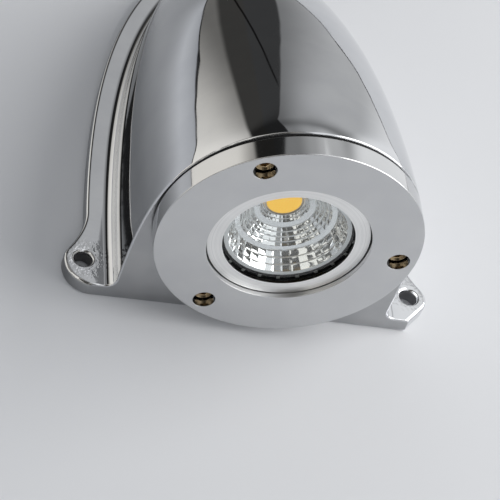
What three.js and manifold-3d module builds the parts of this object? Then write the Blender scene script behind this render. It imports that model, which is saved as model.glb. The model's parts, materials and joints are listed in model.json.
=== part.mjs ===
// Wall light: a hollow cast bullet body on a wall flange, with a bezel ring, a recessed
// LED lamp cup and its driver on a back plate. All lengths are in millimetres.
// Inside the assembly y = 0 is the casting's front plane, the light shines along -Y,
// the wall is the plane z = 0 and x = 0 is the plane of symmetry.
import * as THREE from 'three';
import { mergeVertices } from 'three/addons/utils/BufferGeometryUtils.js';
import Module from 'manifold-3d';

const wasm = await Module();
wasm.setup();

// Clearances and shared small sizes
const seatGap = 0.1;
const slipGap = 0.3;
const threadGap = 0.05;
const overrun = 1;
const weldDistance = 1e-4;

// Sides of the turned pieces, from the largest to the smallest
const sides = { ring: 64, disc: 48, seal: 32, post: 20, head: 12, hole: 8, clamp: 6, socket: 6 };

// Light source and the holder that clamps its board
const phosphorRadius = 6.55;
const phosphorThickness = 0.5;
const phosphorSetBack = 0.2;
const ledBoardRim = 4.45;
const ledBoardThickness = 1.2;
const ledBoardRadius = phosphorRadius + ledBoardRim;
const holderScrewRadius = 1;
const holderHeadRadius = 1.6;
const holderHeadHeight = 0.9;
const holderScrewLength = 6;
const holderHeadRim = 0.2;
const holderLip = 0.8;
const holderRise = 0.6;
const holderWall = (holderHeadRadius + holderHeadRim) * 2;
const holderOuterRadius = ledBoardRadius + slipGap + holderWall;
const holderWindowRadius = ledBoardRadius - holderLip;
const holderScrewCircle = holderOuterRadius - holderWall / 2;

// Reflector. Three stepped bands run from its mouth to its base; each gives the shares
// of that way, across and down, at which it begins and ends.
const reflectorMouthRadius = 22.8;
const reflectorMouthDrop = 0.3;
const reflectorHeight = 15.1;
const reflectorBaseGap = 0.55;
const reflectorBaseRadius = phosphorRadius + reflectorBaseGap;
const reflectorRimWidth = 1.6;
const reflectorRimRadius = reflectorMouthRadius + reflectorRimWidth;
const reflectorWall = 0.9;
const reflectorColumns = 40;
const bandShares = [
  { rows: 3, from: [0, 0], to: [0.23, 0.556] },
  { rows: 4, from: [0.37, 0.589], to: [0.733, 0.854] },
  { rows: 2, from: [0.86, 0.881], to: [1, 1] },
];
const bandBulgeShare = 0.06;

// Heat sink: a finned cup round the reflector
const cupRimWall = 1.4;
const cupMouthRadius = reflectorRimRadius + slipGap;
const cupOuterRadius = cupMouthRadius + cupRimWall;
const cupSeatRadius = reflectorMouthRadius + reflectorWall + slipGap;
const cupThroatRadius = holderOuterRadius + slipGap;
const cupThroatRise = 0.7;
const cupShoulderGap = 1.9;
const cupShoulderDrop = 1.3;
const cupFlangeThickness = 1.6;
const cupFloorThickness = 2;
const cupFrontDrop = 0.7;
const coreRim = 0.8;
const coreRadius = cupThroatRadius + coreRim;
const heatSinkBackDepth = 49;
const finCount = 22;
const finThickness = 1.3;
const toothHeight = 0.5;
const leadHoleRadius = 1.6;
const leadHoleCircle = holderScrewCircle;

// Bezel ring, and the trim ring and glass that it holds
const apertureGap = 3.9;
const apertureRadius = cupOuterRadius + apertureGap;
const bezelFaceWidth = 19;
const bezelRadius = apertureRadius + bezelFaceWidth;
const bezelThickness = 8.5;
const bezelEdgeChamfer = 0.5;
const trimDepth = 2.1;
const trimThickness = 1.1;
const trimWidth = 5.9;
const glassLedge = 3;
const glassPocketRadius = apertureRadius + glassLedge;
const glassThickness = 2;
const sealOuterRadius = glassPocketRadius - slipGap - seatGap;
const sealWidth = 5;
const cupFlangeRadius = glassPocketRadius - slipGap * 2;
const gasketThickness = 1.5;
const gasketOuterInset = 1.4;
const gasketInnerInset = 1.5;
const gasketOuterRadius = bezelRadius - gasketOuterInset;
const gasketInnerRadius = glassPocketRadius + gasketInnerInset;

// Bezel screws
const bezelScrewInset = 6.8;
const bezelScrewCircle = bezelRadius - bezelScrewInset;
const bezelScrewAngles = [-28, 92, 212];
const bezelScrewSink = 3.4;
const bezelHeadRadius = 3.5;
const bezelHeadHeight = 2.8;
const bezelCounterboreGap = 0.7;
const bezelCounterboreRadius = bezelHeadRadius + bezelCounterboreGap;
const bezelShankRadius = 2;
const bezelShankLength = 12;
const bezelSocketRadius = 1.73;
const bezelSocketDepth = 1.8;
const bezelBossWall = 2.6;
const bezelBossRadius = bezelShankRadius + bezelBossWall;
const bezelBossLength = 12;

// Casting: outer form. The exponents shape its plan, its ridge line and its section.
const bodyLength = 178;
const bodySideMargin = 4.4;
const bezelWallGap = 4;
const bezelTopGap = 0.3;
const bodyHeight = bezelWallGap + bezelRadius * 2 + bezelTopGap;
const bodyHalfWidth = bezelRadius + bodySideMargin;
const planPower = 2.5;
const planFullness = 0.55;
const ridgePower = 1.18;
const ridgeFullness = 0.49;
const sectionPower = 3.6;
const wallThickness = 3.6;
const bulkheadThickness = 6;
const tailWall = 10;
const frontBoreClearance = 0.5;
const bodyStations = 22;
const sectionSteps = 28;
const cavityStations = 10;
const cavitySteps = 16;
const tailStopShare = 0.9985;
const contourStepShare = 0.001;

// Casting: wall flange and fixing ears
const flangeThickness = 6.3;
const flangeMargin = 10.4;
const flangeEdgeRound = 1.4;
const filletRadius = 4;
const filletSink = 4;
const filletRoot = 2;
const filletSteps = 3;
const outlineSteps = 18;
const arcSteps = 6;
const earReach = 11.4;
const earHoleX = bodyHalfWidth + earReach;
const earHoleY = 12.2;
const earRadius = 7.4;
const earCornerInset = 1.4;
const earCornerX = earHoleX - earCornerInset;
const earNeckY = 36;
const earLeaveAngle = Math.PI / 5;
const roundedCornerX = 52;
const roundedCornerLead = 1.5;
const tailRunInset = 10;
const tailRunEndY = bodyLength - tailRunInset;
const fixingHoleRadius = 3.4;
const countersinkRadius = 4.6;
const countersinkDepth = 1.4;
const tailHoleBeyondBody = 10.5;
const tailHoleY = bodyLength + tailHoleBeyondBody;

// Cable inlet
const grommetFromTail = 27;
const grommetY = bodyLength - grommetFromTail;
const grommetBoreRadius = 4;
const grommetNeckWall = 2;
const grommetNeckRadius = grommetBoreRadius + grommetNeckWall;
const grommetLip = 2.2;
const grommetRimRadius = grommetNeckRadius + grommetLip;
const grommetRimHeight = 2.4;

// Terminal block
const terminalFromGrommet = 23;
const terminalY = grommetY - terminalFromGrommet;
const terminalPitch = 8;
const terminalPoles = 3;
const terminalDepth = 16;
const terminalHeight = 12;
const terminalWireRadius = 1.6;
const terminalWireHeight = 4;
const clampScrewRadius = 1.6;
const clampScrewHeight = 4;
const clampWellDepth = 5;
const clampRowShare = 0.27;
const terminalScrewRadius = 1.2;
const terminalScrewHead = 2;
const terminalScrewHeadHeight = 1.2;

// Back plate, let into the casting
const plateLedge = 2.5;
const plateRim = 2;
const plateRecess = 0.2;
const plateThickness = 1.6;
const plateScrewInset = 7;
const plateScrewFromBulkhead = 9;
const plateScrewFromTerminal = 10;
const plateScrewY = [bulkheadThickness + plateScrewFromBulkhead, terminalY - plateScrewFromTerminal];
const plateScrewRadius = 1.5;
const plateHeadRadius = 2.9;
const plateHeadHeight = 1.3;
const plateScrewLength = 9;
const plateBossWall = 2.7;
const plateBossRadius = plateScrewRadius + plateBossWall;
const plateBossHeight = 12;

// Driver, between the heat sink and the terminal block
const driverFromHeatSink = 9;
const driverToTerminal = 22;
const driverWidth = 34;
const driverHeight = 24;
const driverWall = 1.6;
const driverCorner = 3;
const driverTabLength = 8;
const driverTabThickness = 2;
const driverScrewRadius = 1.5;
const driverHeadRadius = 2.8;
const driverHeadHeight = 1.9;
const driverBoardThickness = 1.6;
const driverStandoff = 3;
const transformerWidth = 16;
const transformerHeight = 11;
const transformerLengthShare = 0.31;
const capacitorRadius = 5;
const capacitorLengthShare = 0.24;
const leadPortRadius = 1.7;

// Earth screw and inner leads
const earthFromBlock = 12;
const earthFromTerminal = 8;
const earthX = -(terminalPitch * terminalPoles / 2 + earthFromBlock);
const earthY = terminalY - earthFromTerminal;
const earthHeadRadius = 3.4;
const earthHeadHeight = 2.4;
const earthShankRadius = 1.9;
const leadRadius = 1.1;
const leadSides = 6;
const leadSteps = 18;

// Derived stations, measured from the casting's front plane
const bezelFaceY = -(bezelThickness + gasketThickness);
const bezelBackY = bezelFaceY + bezelThickness;
const opticZ = bezelWallGap + bezelRadius;
const plateInnerZ = plateRecess + plateThickness;
const fullTurn = Math.PI * 2;
const quarterTurn = Math.PI / 2;
const atDepth = (depth) => bezelFaceY + depth;
const glassFrontDepth = trimDepth + trimThickness + seatGap * 2;
const glassBackDepth = glassFrontDepth + glassThickness;
const reflectorMouthDepth = glassBackDepth + reflectorMouthDrop;
const reflectorBaseDepth = reflectorMouthDepth + reflectorHeight;
const phosphorDepth = reflectorBaseDepth + phosphorSetBack;
const boardTopDepth = phosphorDepth + phosphorThickness + seatGap;
const boardBackDepth = boardTopDepth + ledBoardThickness;
const holderTopDepth = phosphorDepth - holderRise;
const cupFrontDepth = glassBackDepth + cupFrontDrop;
const cupFloorDepth = boardBackDepth + seatGap;
const cupFlangeBackY = -seatGap;
const cupFlangeFrontY = cupFlangeBackY - cupFlangeThickness;
const heatSinkBackY = atDepth(heatSinkBackDepth);
const driverY = heatSinkBackY + driverFromHeatSink;
const driverEndY = terminalY - driverToTerminal;
const driverLength = driverEndY - driverY;

// Materials, coloured from the photograph
const paint = (color, roughness, metalness) =>
  new THREE.MeshStandardMaterial({ color, roughness, metalness });
const finishes = {
  chrome: paint(0xd4d6da, 0.08, 1),
  satin: paint(0xa8abb0, 0.4, 0.9),
  brushed: paint(0xc6c8ca, 0.35, 0.9),
  mirror: paint(0xe2e4e6, 0.12, 1),
  screw: paint(0x6b5c4b, 0.35, 0.9),
  steel: paint(0xb9bcc0, 0.35, 0.9),
  rubber: paint(0x18191b, 0.8, 0),
  anodised: paint(0x24262a, 0.45, 0.7),
  phosphor: paint(0xebb94b, 0.6, 0),
  board: paint(0xe8e8e4, 0.5, 0),
  holder: paint(0xf0f0ec, 0.5, 0),
  circuit: paint(0x2f6b45, 0.5, 0),
  winding: paint(0xc9a13a, 0.5, 0),
  can: paint(0x2b2e55, 0.4, 0.2),
  casing: paint(0xe6e6e2, 0.55, 0),
  red: paint(0xb3261e, 0.5, 0),
  black: paint(0x1b1b1b, 0.5, 0),
  brown: paint(0x6b3d20, 0.5, 0),
  blue: paint(0x2a5ca8, 0.5, 0),
  green: paint(0x7fb238, 0.5, 0),
};
const glassFinish = new THREE.MeshStandardMaterial({
  color: 0xf4f8f8, roughness: 0.03, metalness: 0, transparent: true, opacity: 0.25,
});

// Signed volume tells which way a closed mesh's faces point.
function signedVolume(position, index) {
  const a = new THREE.Vector3();
  const b = new THREE.Vector3();
  const c = new THREE.Vector3();
  let volume = 0;
  for (let i = 0; i < index.length; i += 3) {
    a.fromBufferAttribute(position, index[i]);
    b.fromBufferAttribute(position, index[i + 1]);
    c.fromBufferAttribute(position, index[i + 2]);
    volume += a.dot(b.cross(c));
  }
  return volume;
}

// A closed geometry becomes a solid that can be joined and cut.
function solidOf(geometry) {
  const bare = new THREE.BufferGeometry();
  bare.setAttribute('position', geometry.getAttribute('position'));
  if (geometry.index) bare.setIndex(geometry.index);
  const merged = mergeVertices(bare, weldDistance);
  const position = merged.getAttribute('position');
  const corners = Array.from(merged.index.array);
  const index = [];
  for (let i = 0; i < corners.length; i += 3) {
    const [a, b, c] = corners.slice(i, i + 3);
    if (a !== b && b !== c && c !== a) index.push(a, b, c);
  }
  if (signedVolume(position, index) < 0) index.reverse();
  return new wasm.Manifold(new wasm.Mesh({
    numProp: 3,
    vertProperties: new Float32Array(position.array),
    triVerts: new Uint32Array(index),
  }));
}

// A solid becomes a named mesh of the assembly.
function piece(name, solid, material) {
  const mesh = solid.getMesh();
  const geometry = new THREE.BufferGeometry();
  geometry.setAttribute('position', new THREE.BufferAttribute(mesh.vertProperties, 3));
  geometry.setIndex(new THREE.BufferAttribute(mesh.triVerts, 1));
  geometry.computeVertexNormals();
  const result = new THREE.Mesh(geometry, material);
  result.name = name;
  return result;
}

const unite = (solids) => solids.reduce((sum, solid) => sum.add(solid));
const point2 = (x, y) => new THREE.Vector2(x, y);
const point3 = (x, y, z) => new THREE.Vector3(x, y, z);

// A box from its low to its high corner.
function block(x0, x1, y0, y1, z0, z1) {
  const geometry = new THREE.BoxGeometry(x1 - x0, y1 - y0, z1 - z0);
  geometry.translate((x0 + x1) / 2, (y0 + y1) / 2, (z0 + z1) / 2);
  return solidOf(geometry);
}

// A turned solid about an axis along Y through (x, z). Each point is [radius, y].
function turnedAlongY(profile, x, z, segments) {
  const geometry = new THREE.LatheGeometry(profile.map(([r, y]) => point2(r, y)), segments);
  geometry.translate(x, 0, z);
  return solidOf(geometry);
}

const turnedOnAxis = (profile, segments) => turnedAlongY(profile, 0, opticZ, segments);

// A turned solid about an upright axis at (x, y). Each point is [radius, z].
function turnedUpright(profile, x, y, segments) {
  const geometry = new THREE.LatheGeometry(profile.map(([r, z]) => point2(r, z)), segments);
  geometry.rotateX(quarterTurn);
  geometry.translate(x, y, 0);
  return solidOf(geometry);
}

// Closed profile of a ring or, with an inner radius of zero, of a disc.
function band(inner, outer, low, high) {
  if (inner === 0) return [[0, low], [outer, low], [outer, high], [0, high]];
  return [[inner, low], [outer, low], [outer, high], [inner, high], [inner, low]];
}

const disc = (radius, y0, y1, segments) => turnedOnAxis(band(0, radius, y0, y1), segments);
const ring = (inner, outer, y0, y1, segments) => turnedOnAxis(band(inner, outer, y0, y1), segments);
const post = (radius, x, y, z0, z1, segments) => turnedUpright(band(0, radius, z0, z1), x, y, segments);

// A closed skin through rings of equal point count. Both end rings lie square to Y.
function loft(rings) {
  const count = rings[0].length;
  const last = (rings.length - 1) * count;
  const index = [];
  for (let r = 0; r + 1 < rings.length; r += 1) {
    for (let i = 0; i < count; i += 1) {
      const a = r * count + i;
      const b = r * count + (i + 1) % count;
      index.push(a, b, a + count, b, b + count, a + count);
    }
  }
  const cap = (loop, offset, alongLoop) => {
    const flat = loop.map((p) => point2(p.x, p.z));
    const forward = THREE.ShapeUtils.isClockWise(flat) !== alongLoop;
    for (const [a, b, c] of THREE.ShapeUtils.triangulateShape(flat, [])) {
      index.push(offset + a, offset + (forward ? b : c), offset + (forward ? c : b));
    }
  };
  cap(rings[0], 0, false);
  cap(rings[rings.length - 1], last, true);
  const positions = rings.flat().flatMap((p) => [p.x, p.y, p.z]);
  const geometry = new THREE.BufferGeometry();
  geometry.setAttribute('position', new THREE.Float32BufferAttribute(positions, 3));
  geometry.setIndex(index);
  return solidOf(geometry);
}

// Half width and height of the body at a station behind the front plane
const tailShareAt = (y) => Math.min(Math.max(y / bodyLength, 0), 1);
const halfWidthAt = (y) => bodyHalfWidth * (1 - tailShareAt(y) ** planPower) ** planFullness;
const heightAt = (y) => bodyHeight * (1 - tailShareAt(y) ** ridgePower) ** ridgeFullness;

// Section of the body square to Y, drawn in by an inset, and closed at the base height.
function bodyRing(y, inset, base, steps) {
  const width = halfWidthAt(y) - inset;
  const height = heightAt(y) - inset;
  const points = [point3(width, y, base)];
  for (let i = 0; i <= steps; i += 1) {
    const angle = Math.PI * i / steps;
    const rise = Math.max(Math.sin(angle), 0) ** (2 / sectionPower);
    points.push(point3(width * Math.cos(angle), y, height * rise));
  }
  points.push(point3(-width, y, base));
  return points;
}

// Stations crowd towards the tail, where the body closes. The front end is drawn out
// straight by a forerun, for a clean cut later.
function bodyLoft(startY, endY, forerun, inset, base, stations, steps) {
  const rings = [];
  if (forerun > 0) {
    rings.push(bodyRing(startY, inset, base, steps).map((p) => point3(p.x, p.y - forerun, p.z)));
  }
  for (let i = 0; i <= stations; i += 1) {
    const share = Math.sin(quarterTurn * i / stations);
    rings.push(bodyRing(startY + (endY - startY) * share, inset, base, steps));
  }
  return loft(rings);
}

// Contour of the body's wall at height z, from t = -1 at the left front end,
// round the tail at t = 0, to t = 1 at the right front end, set out by an offset.
function contourPoint(t, z, offset) {
  const lift = (z / bodyHeight) ** (1 / ridgeFullness);
  const endY = bodyLength * (1 - lift) ** (1 / ridgePower);
  const onWall = (u) => {
    const y = endY * (1 - u * u);
    const fall = z > 0 ? Math.min(z / Math.max(heightAt(y), z), 1) ** sectionPower : 0;
    return point2(Math.sign(u) * halfWidthAt(y) * Math.sqrt(1 - fall), y);
  };
  const before = onWall(Math.max(t - contourStepShare, -1));
  const after = onWall(Math.min(t + contourStepShare, 1));
  const along = after.sub(before).normalize();
  return onWall(t).add(point2(-along.y, along.x).multiplyScalar(offset));
}

const contourPlaceAt = (y) => Math.sqrt(1 - y / bodyLength);

// Points of the base contour between two places t, set out by an offset.
function contourRun(from, to, steps, offset) {
  const points = [];
  for (let i = 0; i <= steps; i += 1) {
    points.push(contourPoint(from + (to - from) * i / steps, 0, offset));
  }
  return points;
}

// Angle on a circle where the line from a point outside touches it.
function touchAngle(point, centre, radius, side) {
  const away = point.clone().sub(centre);
  return Math.atan2(away.y, away.x) + side * Math.acos(radius / away.length());
}

const onCircle = (centre, radius, angle) =>
  point2(centre.x + radius * Math.cos(angle), centre.y + radius * Math.sin(angle));

// Half of the flange: front corner, ear, neck, long side and the pointed tail. The left front
// corner is broadly rounded and the right one is sharp.
function flangeHalf(hasRoundedCorner) {
  const ear = point2(earHoleX, earHoleY);
  const corner = point2(earCornerX, 0);
  const tail = point2(0, tailHoleY);
  const neckPlace = contourPlaceAt(earNeckY);
  const side = contourRun(neckPlace, contourPlaceAt(tailRunEndY), outlineSteps, flangeMargin);
  const leave = onCircle(ear, earRadius, earLeaveAngle);
  const reach = (leave.x - side[0].x) / Math.sin(earLeaveAngle);
  const tailTouch = touchAngle(side[side.length - 1], tail, earRadius, 1);
  const half = new THREE.Path();
  if (hasRoundedCorner) {
    half.moveTo(roundedCornerX, -overrun);
    half.lineTo(roundedCornerX, -roundedCornerLead);
    half.quadraticCurveTo(ear.x + earRadius, -roundedCornerLead, ear.x + earRadius, ear.y);
    half.absarc(ear.x, ear.y, earRadius, 0, earLeaveAngle, false);
  } else {
    half.moveTo(corner.x, -overrun);
    half.lineTo(corner.x, corner.y);
    half.absarc(ear.x, ear.y, earRadius, touchAngle(corner, ear, earRadius, 1), earLeaveAngle, false);
  }
  half.quadraticCurveTo(side[0].x, leave.y + reach * Math.cos(earLeaveAngle), side[0].x, side[0].y);
  side.slice(1).forEach((p) => half.lineTo(p.x, p.y));
  half.absarc(tail.x, tail.y, earRadius, tailTouch, quarterTurn, false);
  return half;
}

const mirrored = (points) => points.map((p) => point2(-p.x, p.y)).reverse();

function flangeBlank() {
  const right = flangeHalf(false).getPoints(arcSteps);
  const left = flangeHalf(true).getPoints(arcSteps);
  const shape = new THREE.Shape([...right, ...mirrored(left)]);
  const geometry = new THREE.ExtrudeGeometry(shape, {
    depth: flangeThickness,
    bevelEnabled: true,
    bevelThickness: flangeEdgeRound,
    bevelSize: flangeEdgeRound,
    bevelOffset: -flangeEdgeRound,
    bevelSegments: 2,
    steps: 1,
  });
  geometry.translate(0, 0, -flangeEdgeRound);
  return solidOf(geometry);
}

// Hollow corner between the flange's top and the body's wall, swept round the body.
function filletStrip() {
  const topZ = flangeThickness + filletRadius;
  const ringAt = (t) => {
    const lift = (z, offset) => {
      const p = contourPoint(t, z, offset);
      return point3(p.x, p.y, z);
    };
    const ringPoints = [lift(flangeThickness, -filletSink)];
    for (let i = 0; i <= filletSteps; i += 1) {
      const angle = quarterTurn * i / filletSteps;
      const z = flangeThickness + filletRadius * (1 - Math.cos(angle));
      ringPoints.push(lift(z, filletRadius * (1 - Math.sin(angle))));
    }
    ringPoints.push(lift(topZ, -filletSink));
    const under = ringPoints.map((p) => p.clone());
    under[0].z -= filletRoot;
    under.splice(1, 0, point3(ringPoints[1].x, ringPoints[1].y, flangeThickness - filletRoot));
    return under;
  };
  const forward = (points) => points.map((p) => point3(p.x, -overrun, p.z));
  const rings = [];
  for (let i = 0; i <= outlineSteps * 2; i += 1) rings.push(ringAt(i / outlineSteps - 1));
  return loft([forward(rings[0]), ...rings, forward(rings[rings.length - 1])]);
}

// Places of the bezel's screws as [x, z]
const bezelScrewPlaces = bezelScrewAngles.map((degrees) => {
  const angle = THREE.MathUtils.degToRad(degrees);
  return [bezelScrewCircle * Math.sin(angle), opticZ + bezelScrewCircle * Math.cos(angle)];
});

// Places of the back plate's screws as [x, y]
const plateScrewPlaces = plateScrewY.flatMap((y) => {
  const x = halfWidthAt(y) - plateScrewInset;
  return [[-x, y], [x, y]];
});

// Places of the fixing holes as [x, y]
const fixingPlaces = [[-earHoleX, earHoleY], [earHoleX, earHoleY], [0, tailHoleY]];

// Outline of the back plate's pocket, or of the plate with a gap to it.
function plateSolid(gap, lowZ, highZ) {
  const frontY = bulkheadThickness - plateLedge + gap;
  const place = contourPlaceAt(frontY);
  const shape = new THREE.Shape(contourRun(-place, place, outlineSteps, -plateRim - gap));
  const geometry = new THREE.ExtrudeGeometry(shape, { depth: highZ - lowZ, bevelEnabled: false, steps: 1 });
  geometry.translate(0, 0, lowZ);
  return solidOf(geometry);
}

// Countersunk form of a back plate screw's head, grown by a gap
const plateHeadProfile = (gap, low, high) => [
  [0, low],
  [plateHeadRadius + gap, low],
  [plateHeadRadius + gap, plateRecess],
  [plateScrewRadius + gap, plateRecess + plateHeadHeight],
  [plateScrewRadius + gap, high],
  [0, high],
];

function makeHousing() {
  const outer = bodyLoft(0, bodyLength * tailStopShare, overrun, 0, 0, bodyStations, sectionSteps);
  const blank = unite([outer, flangeBlank(), filletStrip()]);
  const ahead = block(-bodyLength, bodyLength, -bodyLength, 0, -bodyLength, bodyLength * 2);
  const below = block(-bodyLength, bodyLength, -bodyLength, bodyLength * 2, -bodyLength, 0);
  const cavity = bodyLoft(bulkheadThickness, bodyLength - tailWall, 0, wallThickness, -overrun,
    cavityStations, cavitySteps);
  const pocket = plateSolid(0, -overrun, plateInnerZ + seatGap);
  const bossFootZ = plateInnerZ + seatGap;
  const bosses = unite([
    ...bezelScrewPlaces.map(([x, z]) =>
      turnedAlongY(band(0, bezelBossRadius, 0, bezelBossLength), x, z, sides.head)),
    ...plateScrewPlaces.map(([x, y]) =>
      post(plateBossRadius, x, y, bossFootZ, plateBossHeight, sides.head)),
  ]).intersect(outer);
  const bezelHoleEnd = atDepth(bezelScrewSink + bezelHeadHeight + bezelShankLength) + slipGap;
  const plateHoleEnd = plateRecess + plateScrewLength + slipGap;
  const holes = unite([
    disc(cupOuterRadius + frontBoreClearance, -overrun, bulkheadThickness + overrun, sides.disc),
    ...bezelScrewPlaces.map(([x, z]) =>
      turnedAlongY(band(0, bezelShankRadius + threadGap, -overrun, bezelHoleEnd), x, z, sides.post)),
    ...plateScrewPlaces.map(([x, y]) =>
      post(plateScrewRadius + threadGap, x, y, -overrun, plateHoleEnd, sides.hole)),
    ...fixingPlaces.map(([x, y]) => turnedUpright([
      [0, -overrun],
      [fixingHoleRadius, -overrun],
      [fixingHoleRadius, flangeThickness - countersinkDepth],
      [countersinkRadius, flangeThickness],
      [countersinkRadius, flangeThickness + filletRadius],
      [0, flangeThickness + filletRadius],
    ], x, y, sides.post)),
  ]);
  return blank
    .subtract(ahead)
    .subtract(below)
    .subtract(cavity)
    .subtract(pocket)
    .add(bosses)
    .subtract(holes);
}

function makeBezelRing() {
  const glassSeatY = atDepth(trimDepth + trimThickness + seatGap);
  const body = turnedOnAxis([
    [apertureRadius, bezelFaceY],
    [bezelRadius - bezelEdgeChamfer, bezelFaceY],
    [bezelRadius, bezelFaceY + bezelEdgeChamfer],
    [bezelRadius, bezelBackY],
    [glassPocketRadius, bezelBackY],
    [glassPocketRadius, glassSeatY],
    [apertureRadius, glassSeatY],
    [apertureRadius, bezelFaceY],
  ], sides.ring);
  const headSeatY = atDepth(bezelScrewSink + bezelHeadHeight) + seatGap;
  const holes = bezelScrewPlaces.map(([x, z]) => turnedAlongY([
    [0, bezelFaceY - overrun],
    [bezelCounterboreRadius, bezelFaceY - overrun],
    [bezelCounterboreRadius, headSeatY],
    [bezelShankRadius + slipGap, headSeatY],
    [bezelShankRadius + slipGap, bezelBackY + overrun],
    [0, bezelBackY + overrun],
  ], x, z, sides.post));
  return body.subtract(unite(holes));
}

function makeBezelGasket() {
  const lowY = bezelBackY + seatGap;
  const body = ring(gasketInnerRadius, gasketOuterRadius, lowY, -seatGap, sides.disc);
  const holes = bezelScrewPlaces.map(([x, z]) =>
    turnedAlongY(band(0, bezelShankRadius + slipGap, lowY - overrun, overrun), x, z, sides.post));
  return body.subtract(unite(holes));
}

function makeBezelScrew([x, z]) {
  const topY = atDepth(bezelScrewSink);
  const neckY = topY + bezelHeadHeight;
  const body = turnedAlongY([
    [0, topY],
    [bezelHeadRadius, topY],
    [bezelHeadRadius, neckY],
    [bezelShankRadius, neckY],
    [bezelShankRadius, neckY + bezelShankLength],
    [0, neckY + bezelShankLength],
  ], x, z, sides.post);
  const socketProfile = band(0, bezelSocketRadius, topY - overrun, topY + bezelSocketDepth);
  return body.subtract(turnedAlongY(socketProfile, x, z, sides.socket));
}

function makeTrimRing() {
  const frontY = atDepth(trimDepth);
  const innerRadius = apertureRadius - trimWidth;
  return ring(innerRadius, apertureRadius - slipGap, frontY, frontY + trimThickness, sides.disc);
}

const makeFrontGlass = () =>
  disc(glassPocketRadius - slipGap, atDepth(glassFrontDepth), atDepth(glassBackDepth), sides.disc);

function makeGlassSeal() {
  const frontY = atDepth(glassBackDepth) + seatGap;
  const backY = cupFlangeFrontY - seatGap;
  return ring(sealOuterRadius - sealWidth, sealOuterRadius, frontY, backY, sides.seal);
}

// A place on the reflector's way from mouth to base, as [radius, depth].
const reflectorPlace = ([across, down]) => [
  reflectorMouthRadius + (reflectorBaseRadius - reflectorMouthRadius) * across,
  reflectorMouthDepth + reflectorHeight * down,
];

// Points down one band of the reflector, one more than its rows, bulging a little.
function bandPoints({ rows, from, to }) {
  const [fromRadius, fromDepth] = reflectorPlace(from);
  const [toRadius, toDepth] = reflectorPlace(to);
  const points = [];
  for (let i = 0; i <= rows; i += 1) {
    const share = i / rows;
    const bulge = (fromRadius - toRadius) * bandBulgeShare * Math.sin(Math.PI * share);
    points.push([
      fromRadius + (toRadius - fromRadius) * share + bulge,
      atDepth(fromDepth + (toDepth - fromDepth) * share),
    ]);
  }
  return points;
}

const [outerEnd, middleEnd] = bandShares.map(({ to }) => reflectorPlace(to));

function makeReflector() {
  const rimY = atDepth(glassBackDepth) + seatGap;
  const behind = ([radius, depth]) => [radius + reflectorWall, atDepth(depth) + reflectorWall];
  return turnedOnAxis([
    [reflectorMouthRadius, rimY],
    ...bandShares.flatMap(bandPoints),
    [reflectorBaseRadius + reflectorWall, atDepth(reflectorBaseDepth)],
    behind(middleEnd),
    behind(outerEnd),
    [reflectorMouthRadius + reflectorWall, rimY + reflectorWall],
    [reflectorRimRadius, rimY + reflectorWall],
    [reflectorRimRadius, rimY],
    [reflectorMouthRadius, rimY],
  ], reflectorColumns);
}

const makePhosphor = () =>
  disc(phosphorRadius, atDepth(phosphorDepth), atDepth(phosphorDepth + phosphorThickness), sides.seal);

const makeLedBoard = () =>
  disc(ledBoardRadius, atDepth(boardTopDepth), atDepth(boardBackDepth), sides.post);

// The holder's two screws stand above and below the light source.
const holderScrewPlaces = [1, -1].map((side) => [0, opticZ + side * holderScrewCircle]);
const leadHolePlaces = [-1, 1].map((side) => [side * leadHoleCircle, opticZ]);

function makeLedHolder() {
  const topY = atDepth(holderTopDepth);
  const lipY = atDepth(boardTopDepth) - seatGap;
  const backY = atDepth(boardBackDepth);
  const body = turnedOnAxis([
    [holderWindowRadius, topY],
    [holderOuterRadius, topY],
    [holderOuterRadius, backY],
    [ledBoardRadius + slipGap, backY],
    [ledBoardRadius + slipGap, lipY],
    [holderWindowRadius, lipY],
    [holderWindowRadius, topY],
  ], sides.seal);
  const wells = holderScrewPlaces.map(([x, z]) => turnedAlongY([
    [0, topY - overrun],
    [holderHeadRadius + seatGap, topY - overrun],
    [holderHeadRadius + seatGap, topY + holderHeadHeight + seatGap],
    [holderScrewRadius + seatGap, topY + holderHeadHeight + seatGap],
    [holderScrewRadius + seatGap, backY + overrun],
    [0, backY + overrun],
  ], x, z, sides.hole));
  return body.subtract(unite(wells));
}

function makeHolderScrew([x, z]) {
  const topY = atDepth(holderTopDepth);
  const neckY = topY + holderHeadHeight;
  return turnedAlongY([
    [0, topY],
    [holderHeadRadius, topY],
    [holderHeadRadius, neckY],
    [holderScrewRadius, neckY],
    [holderScrewRadius, neckY + holderScrewLength],
    [0, neckY + holderScrewLength],
  ], x, z, sides.hole);
}

// A bar that stands out from the optical axis at an angle, from one radius to another.
function radialBar(angle, inner, outer, width, y0, y1) {
  const geometry = new THREE.BoxGeometry(outer - inner, y1 - y0, width);
  geometry.translate((inner + outer) / 2, (y0 + y1) / 2, 0);
  geometry.rotateY(angle);
  geometry.translate(0, 0, opticZ);
  return solidOf(geometry);
}

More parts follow.
